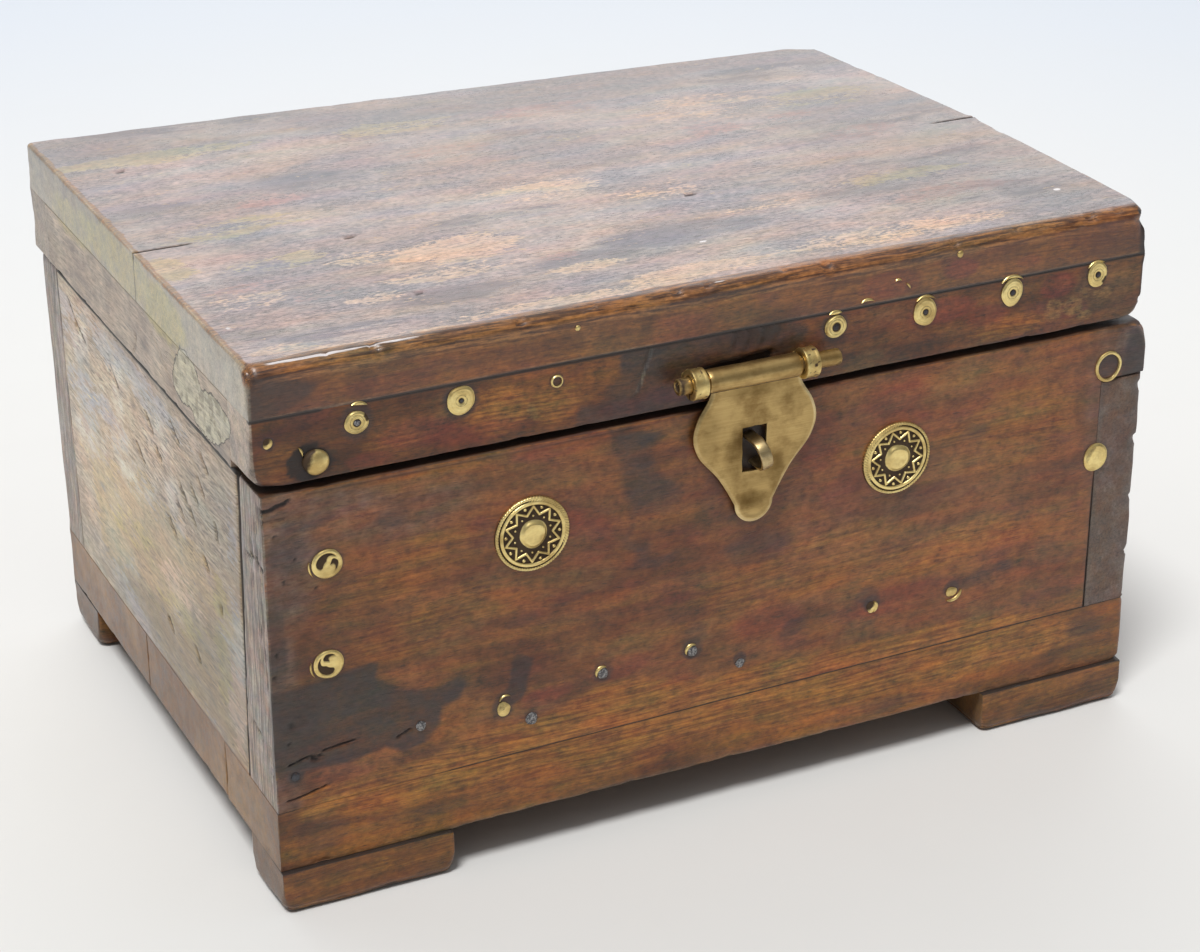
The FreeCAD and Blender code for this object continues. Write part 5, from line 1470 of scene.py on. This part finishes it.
def star_distance(r, theta, inner, outer):
    """Distance to a zigzag line round the centre."""
    sector = 2 * math.pi / STAR_POINTS
    fold = np.abs(np.mod(theta, sector) - sector / 2)
    u, v = r * np.cos(fold), r * np.sin(fold)
    end_u, end_v = outer * math.cos(sector / 2), outer * math.sin(sector / 2)
    du, dv = end_u - inner, end_v
    share = np.clip(((u - inner) * du + v * dv) / (du * du + dv * dv), 0, 1)
    return np.hypot(u - inner - share * du, v - share * dv)


def dot_distance(r, theta, ring, phase):
    sector = 2 * math.pi / STAR_POINTS
    fold = np.mod(theta - phase + sector / 2, sector) - sector / 2
    return np.hypot(r * np.cos(fold) - ring, r * np.sin(fold))


def roundels():
    places = (("left_roundel", -73.3, 120.5, 0.35, 0.6), ("right_roundel", 64.4, 119.6, 0.1, 2.6))
    for number, (name, x, z, turn, worn_side) in enumerate(places):
        sector = 2 * math.pi / STAR_POINTS

        def relief(r, theta, turn=turn, worn_side=worn_side):
            angle = theta + turn
            star = ease(star_distance(r, angle, 7.1, 10.0), 0.55, 0.2)
            dots = ease(dot_distance(r, angle, 9.6, sector / 2), 0.75, 0.35)
            inner_dots = 0.8 * ease(dot_distance(r, angle, 6.6, 0.0), 0.55, 0.2)
            ring = ease(np.abs(r - 11.1), 0.75, 0.45)
            rope = 0.75 + 0.25 * np.sin(theta * 78 + r * 4)
            rim = ease(np.abs(r - 12.75), 0.7, 0.4) * rope
            side = ease(np.cos(theta - worn_side), 0.1, 0.8)
            band = side * ease(r, 10.7, 11.2) * ease(r, 13.2, 12.9) * rope
            pattern = np.maximum.reduce([star, dots, inner_dots, ring, rim, band])
            return pattern * ease(r, 4.6, 5.6)

        def height(r, theta, relief=relief):
            return 0.45 + 0.62 * relief(r, theta) - 0.3 * ease(r, 12.95, 13.25)

        def patina(r, theta, relief=relief):
            return 1 - ease(relief(r, theta), 0.25, 0.75)

        rings = np.concatenate([[0.2, 0.3, 0.36], np.linspace(0.40, 1.0, 58)])
        polar_piece(name, (x, FRONT_FACE, z), "body", BRASS_TRIM, [name],
                    circle(ROUNDEL_RADIUS, 70 + number, 0.006), rings, height, patina, spokes=300, sharp=None)

        def boss(r, theta):
            share = r / np.maximum(r[-1], 1e-6)
            return 0.45 + 1.1 * (1 - 0.9 * ease(share, 0.7, 1.0)) - 0.06 * share

        polar_piece(name + "_tack", (x + 0.3, FRONT_FACE, z), "body", BRASS_TRIM, ["roundel_tacks"],
                    circle(5.0, 80 + number, 0.05), FINE_RINGS, boss,
                    lambda r, theta: 0.5 * ease(r / np.maximum(r[-1], 1e-6), 0.9, 1.0), spokes=64)


# Hasp
pin_low, pin_high = span("hasp_pin")
PIN_Y = (pin_low[Y] + pin_high[Y]) / 2
PIN_Z = (pin_low[Z] + pin_high[Z]) / 2
PIN_RADIUS = (pin_high[Z] - pin_low[Z]) / 2
PLATE_THICKNESS = 1.3
PLATE_FRONT = PIN_Y + PIN_RADIUS
PLATE_MIDDLE = 7.7
PLATE_HALF_WIDTH = 23.2
PLATE_LENGTH = 56.0
TONGUE_RADIUS = 7.2
TONGUE_DROP = 49.0
SLOT_SHIFT = -0.5
SLOT_HALF_WIDTH = 4.55
SLOT_DROP = 28.9
SLOT_HALF_HEIGHT = 8.15
OUTLINE_SHARES = ((0.0, 0.70), (0.14, 0.745), (0.27, 0.93), (0.385, 1.0), (0.50, 0.925), (0.68, 0.58),
                  (0.80, 0.405))
BARREL_LOW = -13.2
BARREL_HIGH = 21.0
BARREL_RADIUS = PIN_RADIUS + PLATE_THICKNESS


def smooth_curve(places, values, at):
    """A smooth curve through the places, by cubic pieces."""
    slopes = np.gradient(values, places)
    i = np.clip(np.searchsorted(places, at) - 1, 0, len(places) - 2)
    width = places[i + 1] - places[i]
    t = (at - places[i]) / width
    return ((2 * t**3 - 3 * t**2 + 1) * values[i] + (t**3 - 2 * t**2 + t) * width * slopes[i]
            + (-2 * t**3 + 3 * t**2) * values[i + 1] + (t**3 - t**2) * width * slopes[i + 1])


def plate_half_width(drop):
    places = np.array([p for p, _ in OUTLINE_SHARES] + [TONGUE_DROP / PLATE_LENGTH]) * PLATE_LENGTH
    values = np.array([w for _, w in OUTLINE_SHARES] + [TONGUE_RADIUS / PLATE_HALF_WIDTH]) * PLATE_HALF_WIDTH
    flank = smooth_curve(places, values, np.minimum(drop, TONGUE_DROP))
    tongue = np.sqrt(np.maximum(TONGUE_RADIUS ** 2 - (drop - TONGUE_DROP) ** 2, 0.1))
    return np.where(drop > TONGUE_DROP, tongue, flank)


# Tarnish on the plate: place across and down from the pin, reaches across and down, strength; the wide row 7
# mm down is tarnish with painted shade under the barrel
PLATE_STAINS = (
    (-0.5, 48, 5.5, 4, 0.85), (-7.5, 31, 4, 9, 0.6), (7.5, 38, 5, 6, 0.5), (-17, 20, 5, 9, 0.4),
    (14, 12, 8, 5, 0.3), (0, 7, 18, 3.5, 0.5), (0, 41, 8, 3, 0.35))


def hasp_plate():
    slot_top, slot_bottom = SLOT_DROP - SLOT_HALF_HEIGHT, SLOT_DROP + SLOT_HALF_HEIGHT
    tip = TONGUE_DROP + TONGUE_RADIUS * np.sin(np.linspace(0, math.pi / 2 - 0.03, 16))
    drops = np.unique(np.concatenate([np.linspace(1.0, slot_top, 24), np.linspace(slot_top, slot_bottom, 18),
                                      np.linspace(slot_bottom, TONGUE_DROP, 14), tip]))
    half = plate_half_width(drops)
    slot = np.minimum(SLOT_HALF_WIDTH, 0.5 * half)
    middle = SLOT_SHIFT * slot / SLOT_HALF_WIDTH
    flank = np.array([0, 0.02, 0.045, 0.08, 0.14, 0.25, 0.4, 0.55, 0.7, 0.85, 0.95, 1.0])
    inner = np.linspace(0, 1, 9)
    left = -half[:, None] + (middle - slot + half)[:, None] * flank
    centre = (middle - slot)[:, None] + 2 * slot[:, None] * inner[1:-1]
    right = half[:, None] - (half - middle - slot)[:, None] * flank[::-1]
    across = np.concatenate([left, centre, right], axis=1)
    drop = np.broadcast_to(drops[:, None], across.shape)
    flat = np.stack([across.ravel(), drop.ravel(), 0 * drop.ravel()], axis=1)
    rim = half[:, None] - np.abs(across)
    round_rim = TONGUE_RADIUS - np.hypot(across, drop - TONGUE_DROP)
    rim = np.where(drop > TONGUE_DROP, round_rim, rim)
    waves = noise(flat, 16, 5, 2).reshape(across.shape)
    sink = 0.7 * ease(rim, 1.1, 0.0) + 0.14 * (1 + waves) + 0.22 * ease(rim, 1.6, 2.6)
    ragged = 0.25 * noise(flat, 3.0, 9, 2).reshape(across.shape)
    in_slot = (np.abs(across - middle[:, None]) <= slot[:, None] + 0.4) & (np.abs(drop - SLOT_DROP) < 9.5)
    shift = np.where(in_slot, ragged, 0)
    front = np.stack([PLATE_MIDDLE + across + shift, PLATE_FRONT + sink, PIN_Z - drop + shift], axis=-1)
    back = front.copy()
    back[..., 1] = PLATE_FRONT + PLATE_THICKNESS - 0.05
    mid_row = (drops[:-1] + drops[1:]) / 2
    keep = np.ones((len(drops) - 1, across.shape[1] - 1), bool)
    rows = (mid_row > slot_top) & (mid_row < slot_bottom)
    first = len(flank) - 1
    keep[np.ix_(rows, np.arange(first, first + len(inner) - 1))] = False
    cloudy = noise(flat, 7.0, 31, 3).reshape(across.shape)
    stain = np.zeros(across.shape)
    for stain_x, stain_drop, reach_x, reach_drop, strength in PLATE_STAINS:
        away = np.hypot((across - stain_x) / reach_x, (drop - stain_drop) / reach_drop) + 0.3 * cloudy
        stain = np.maximum(stain, strength * ease(away, 1.3, 0.4))
    # Tarnish with painted shade just under the barrel
    stain = np.maximum(stain, 0.3 * ease(drop, 6.0, 2.0))
    stain = np.maximum(stain, 0.26 * ease(rim, 4.5, 1.5) * (0.7 + cloudy))
    stain = np.clip(stain * ease(rim, 0.9, 2.0), 0, 1)
    # Rubbed edges with a painted highlight, stronger on the lit right side and round the tip
    lit_side = 0.35 + 0.65 * ease(across, -10, 12)
    rubbed = 0.9 * ease(rim, 1.5, 0.7) * np.maximum(lit_side, ease(drop, 44, 52))
    sheet_piece("hasp_plate", front, back, "hasp", BRASS_PLATE, ["hasp_plate"], keep,
                {"tarnish": stain, "rubbed": rubbed}, 50)


def hasp_barrel():
    profile = [(BARREL_LOW + 0.25, PIN_RADIUS - 0.1), (BARREL_LOW, PIN_RADIUS + 0.4),
               (BARREL_LOW + 0.1, BARREL_RADIUS - 0.25)]
    profile += [(x, BARREL_RADIUS) for x in np.linspace(BARREL_LOW + 0.5, BARREL_HIGH - 0.5, 26)]
    profile += [(BARREL_HIGH - 0.1, BARREL_RADIUS - 0.25), (BARREL_HIGH, PIN_RADIUS + 0.4),
                (BARREL_HIGH - 0.25, PIN_RADIUS - 0.1)]

    def patina(x, theta):
        worn = 0.5 + 0.5 * np.sin(x * 0.23 + 1.4 * np.sin(theta))
        streak = 0.34 * worn * ease(np.abs(theta - 1.45), 0.55, 0.15)
        # Patina with painted shade on the barrel's underside
        under = 0.8 * ease(np.abs(theta - 5.1), 0.6, 0.2)
        return np.maximum(streak, under)

    turned_piece("hasp_barrel", profile, (PIN_Y, PIN_Z), "hasp", BRASS_PLATE, ["hasp_plate"],
                 64, 0.25, 7, patina=patina)


def hasp_pin():
    low, high = pin_low[X], pin_high[X]
    profile = [(low + 0.5, 0.7), (low + 1.2, 1.0), (low + 0.6, 1.5), (low + 0.1, 1.9), (low, 2.3),
               (low + 0.35, PIN_RADIUS - 0.1)]
    profile += [(x, PIN_RADIUS) for x in np.linspace(low + 1, high - 1, 30)]
    profile += [(high - 0.4, PIN_RADIUS - 0.08), (high, PIN_RADIUS - 0.55), (high - 0.15, 1.6),
                (high - 0.2, 0.3)]

    def patina(x, theta):
        hollow = ease(x, low + 1.25, low + 0.9) * ease(x, low + 0.2, low + 0.5)
        blotch = 0.5 * ease(np.sin(x * 1.7) * np.cos(theta * 2 + x), 0.2, 0.8)
        return np.maximum(hollow, blotch)

    turned_piece("hasp_pin", profile, (PIN_Y, PIN_Z), "hasp", BRASS_PLATE, ["hasp_pin"],
                 40, 0.14, 11, patina=patina)


EYE_INNER = 3.2
EYE_OUTER = 5.4
CLINCH_LENGTH = 6.0
EYE_THICKNESS = 2.4


def hasp_eyes():
    for number, side in enumerate(("left", "right")):
        node = "hasp_%s_eye" % side
        low, high = span(node)
        x0, x1 = low[X], high[X]
        profile = [(x0 + 0.3, EYE_INNER), (x0, EYE_INNER + 0.4), (x0, EYE_OUTER - 0.6),
                   (x0 + 0.25, EYE_OUTER - 0.12),
                   (x0 + 0.7, EYE_OUTER)]
        profile += [(x, EYE_OUTER - 0.16) for x in np.linspace(x0 + 1.2, x1 - 1.2, 6)]
        profile += [(x1 - 0.7, EYE_OUTER), (x1 - 0.25, EYE_OUTER - 0.12), (x1, EYE_OUTER - 0.6),
                    (x1, EYE_INNER + 0.4),
                    (x1 - 0.3, EYE_INNER)]

        def patina(x, theta, x0=x0, x1=x1):
            middle = (x0 + x1) / 2
            flat = np.stack([x.ravel(), 5 * np.cos(theta).ravel(), 5 * np.sin(theta).ravel()], axis=1)
            pits = ease(noise(flat, 0.8, 19, 1), 0.42, 0.62).reshape(x.shape)
            return np.maximum(0.2 * ease(np.abs(x - middle), 2.2, 1.0), 0.8 * pits)

        turned_piece(node + "_ring", profile, (PIN_Y, PIN_Z), "lid", BRASS_TRIM, [node], 56, 0.2,
                     13 + number, closed=True, patina=patina)
        middle = (x0 + x1) / 2
        inside = rail_high[Y]
        for part, rise in (("upper", 1), ("lower", -1)):
            z = PIN_Z + rise * EYE_THICKNESS / 2
            tail = [(middle, PIN_Y + EYE_INNER + 0.6, z), (middle, FRONT_FACE + 3, z),
                    (middle, inside - 1, z)]
            bend = [(middle, inside + EYE_THICKNESS / 2 * math.sin(a),
                     z + rise * EYE_THICKNESS / 2 * (1 - math.cos(a)))
                    for a in np.linspace(0.2, math.pi / 2, 6)]
            end = [(middle, inside + EYE_THICKNESS / 2, z + rise * (EYE_THICKNESS / 2 + d))
                   for d in np.linspace(1, CLINCH_LENGTH, 5)]
            taper = np.concatenate([np.ones(9), np.linspace(1, 0.5, 5)])
            swept_strip("%s_tail_%s" % (node, part), tail + bend + end, (1, 0, 0), high[X] - low[X] - 0.6,
                        EYE_THICKNESS * 0.9, "lid", BRASS_TRIM, [node], taper)


STAPLE_TILT = math.radians(-15.0)
STAPLE_RADIUS = 5.15
STAPLE_X = 7.2
STAPLE_Z = 135.3
STAPLE_NOSE = -123.15
STAPLE_WIDTH = 4.2
STAPLE_THICKNESS = 1.5
STAPLE_CLINCH = 7.0


def lock_staple():
    """A bent strip through the front board, its ends turned over inside."""
    inside = FRONT_FACE + front_thickness(STAPLE_Z) + STAPLE_THICKNESS / 2
    flat = []
    for z in np.linspace(STAPLE_CLINCH, 1.0, 5):
        flat.append((inside, STAPLE_RADIUS + z))
    flat.append((inside - 0.4, STAPLE_RADIUS + 0.3))
    for y in np.linspace(inside - 1.0, STAPLE_NOSE + 1.0, 10):
        flat.append((y, STAPLE_RADIUS))
    for a in np.linspace(0, math.pi, 21):
        flat.append((STAPLE_NOSE - STAPLE_RADIUS * math.sin(a), STAPLE_RADIUS * math.cos(a)))
    for y in np.linspace(STAPLE_NOSE + 1.0, inside - 1.0, 10):
        flat.append((y, -STAPLE_RADIUS))
    flat.append((inside - 0.4, -STAPLE_RADIUS - 0.3))
    for z in np.linspace(1.0, STAPLE_CLINCH, 5):
        flat.append((inside, -STAPLE_RADIUS - z))
    c, s = math.cos(STAPLE_TILT), math.sin(STAPLE_TILT)
    path = [(STAPLE_X + rise * s, y, STAPLE_Z + rise * c) for y, rise in flat]
    side = (c, 0, -s)
    swept_strip("lock_staple", path, side, STAPLE_WIDTH, STAPLE_THICKNESS, "body", BRASS_SILVERY,
                ["lock_staple"])


def hidden_nodes():
    """The frame's own hinges and hidden nails keep their shape and get worn iron."""
    for node in ("left_hinge_body_leaf", "right_hinge_body_leaf", "left_hinge_lid_leaf",
                 "right_hinge_lid_leaf",
                 "left_hinge_pin", "right_hinge_pin", "hinge_body_nails", "hinge_lid_nails", "base_nails",
                 "foot_nails", "lid_plank_nails"):
        part = frame["nodes"][node]
        part.data.materials.clear()
        part.data.materials.append(IRON)


front_board()
right_side_board()
left_side_board()
back_board()
base_plank("base_front_plank", 51, 1.3)
base_plank("base_middle_plank", 53, 4.0)
base_plank("base_back_plank", 57, 3.0)
for foot_seed, foot_name in enumerate(("foot_front_left", "foot_front_right", "foot_back_left",
                                       "foot_back_right")):
    foot(foot_name, 200 + 10 * foot_seed)
lid_front_rail()
lid_side_rail("lid_left_rail", 65, 0)
lid_side_rail("lid_right_rail", 68, 1)
lid_back_rail()
lid_front_plank()
lid_back_plank()
lid_discs()
lid_slivers()
lid_small_nails()
swirl_nails()
front_small_nails()
roundels()
hasp_plate()
hasp_barrel()
hasp_pin()
hasp_eyes()
lock_staple()
hidden_nodes()


# Floor, light and camera
FLOOR_NEAR = tone(222, 221, 218)
FLOOR_FAR = tone(196, 203, 213)
SKY_SEEN = tone(243, 249, 254)
FLOOR_HALF = 6.0


def floor():
    s = Shader("pale_floor")
    reach = s.add("ShaderNodeVectorMath", {0: s.place}, operation="LENGTH").outputs["Value"]
    colour = s.mix(s.step(reach, 0.3, 1.3), FLOOR_NEAR, FLOOR_FAR)
    mottle = s.noise((60, 60, 60), 3.0, 4)
    colour = s.mix(s.step(mottle, 0.4, 0.9, 0.0, 0.08), colour, tone(206, 204, 200))
    material = s.finish(colour, 0.6, s.bump(mottle, 0.2, 0.2), level=0.2)
    corners = [(-FLOOR_HALF, -FLOOR_HALF, 0), (FLOOR_HALF, -FLOOR_HALF, 0), (FLOOR_HALF, FLOOR_HALF, 0),
               (-FLOOR_HALF, FLOOR_HALF, 0)]
    mesh = bpy.data.meshes.new("floor")
    mesh.from_pydata(corners, [], [(0, 1, 2, 3)])
    mesh.materials.append(material)
    plane = bpy.data.objects.new("floor", mesh)
    bpy.context.scene.collection.objects.link(plane)


WORLD_LOW = 0.22
WORLD_HIGH = 0.55
WORLD_BEHIND = 0.55


def world():
    """A pale room: dim near the ground in front, brighter overhead and behind the chest."""
    scene_world = bpy.data.worlds.new("studio")
    bpy.context.scene.world = scene_world
    scene_world.use_nodes = True
    tree = scene_world.node_tree
    tree.nodes.clear()

    def add(kind, **settings):
        node = tree.nodes.new(kind)
        for setting, value in settings.items():
            setattr(node, setting, value)
        return node

    def ramp(source, low, high, bottom, top):
        node = add("ShaderNodeMapRange", interpolation_type="SMOOTHSTEP")
        tree.links.new(source, node.inputs["Value"])
        for name, value in zip(("From Min", "From Max", "To Min", "To Max"), (low, high, bottom, top)):
            node.inputs[name].default_value = value
        return node.outputs["Result"]

    direction = add("ShaderNodeSeparateXYZ")
    tree.links.new(add("ShaderNodeTexCoord").outputs["Generated"], direction.inputs[0])
    strength = add("ShaderNodeMath", operation="ADD")
    tree.links.new(ramp(direction.outputs["Z"], 0.45, 0.95, WORLD_LOW, WORLD_HIGH), strength.inputs[0])
    tree.links.new(ramp(direction.outputs["Y"], 0.2, 0.8, 0.0, WORLD_BEHIND), strength.inputs[1])
    seen = add("ShaderNodeBackground")
    seen.inputs["Color"].default_value = SKY_SEEN
    lit = add("ShaderNodeBackground")
    lit.inputs["Color"].default_value = tone(250, 252, 255)
    tree.links.new(strength.outputs[0], lit.inputs["Strength"])
    mixed = add("ShaderNodeMixShader")
    tree.links.new(add("ShaderNodeLightPath").outputs["Is Camera Ray"], mixed.inputs[0])
    tree.links.new(lit.outputs[0], mixed.inputs[1])
    tree.links.new(seen.outputs[0], mixed.inputs[2])
    tree.links.new(mixed.outputs[0], add("ShaderNodeOutputWorld").inputs["Surface"])


SUN_FROM = (-0.27, -0.24, 0.93)
SUN_STRENGTH = 2.4
SUN_ANGLE = 16.0
SOFTBOX_PLACE = (0.55, 1.6, 1.1)
SOFTBOX_SIZE = (2.6, 1.5)
SOFTBOX_POWER = 8.0


def add_lamp(data, place):
    lamp = bpy.data.objects.new(data.name, data)
    lamp.location = place
    lamp.rotation_euler = (Vector((0, 0, 0.1)) - Vector(place)).to_track_quat("-Z", "Y").to_euler()
    lamp.visible_camera = False
    bpy.context.scene.collection.objects.link(lamp)


def lamps():
    sun = bpy.data.lights.new("soft_key", "SUN")
    sun.energy = SUN_STRENGTH
    sun.angle = math.radians(SUN_ANGLE)
    add_lamp(sun, SUN_FROM)
    softbox = bpy.data.lights.new("back_softbox", "AREA")
    softbox.shape = "RECTANGLE"
    softbox.size, softbox.size_y = SOFTBOX_SIZE
    softbox.energy = SOFTBOX_POWER
    add_lamp(softbox, SOFTBOX_PLACE)


CAMERA_PLACE = (-0.41795, -0.8747, 0.531)
CAMERA_AZIMUTH = -25.99
CAMERA_ELEVATION = 25.12
CAMERA_ROLL = -0.08
CAMERA_LENS = 85.8
SENSOR_WIDTH = 36.0


def camera():
    data = bpy.data.cameras.new("camera")
    data.lens = CAMERA_LENS
    data.sensor_width = SENSOR_WIDTH
    data.clip_start = 0.01
    data.clip_end = 50.0
    shot = bpy.data.objects.new("camera", data)
    azimuth, elevation = math.radians(CAMERA_AZIMUTH), math.radians(CAMERA_ELEVATION)
    back = Vector((math.sin(azimuth) * math.cos(elevation), -math.cos(azimuth) * math.cos(elevation),
                   math.sin(elevation)))
    shot.rotation_mode = "QUATERNION"
    roll = Quaternion((0, 0, 1), math.radians(CAMERA_ROLL))
    shot.rotation_quaternion = (-back).to_track_quat("-Z", "Y") @ roll
    shot.location = CAMERA_PLACE
    bpy.context.scene.collection.objects.link(shot)
    bpy.context.scene.camera = shot


floor()
world()
lamps()
camera()
bpy.context.scene.view_settings.view_transform = "Standard"
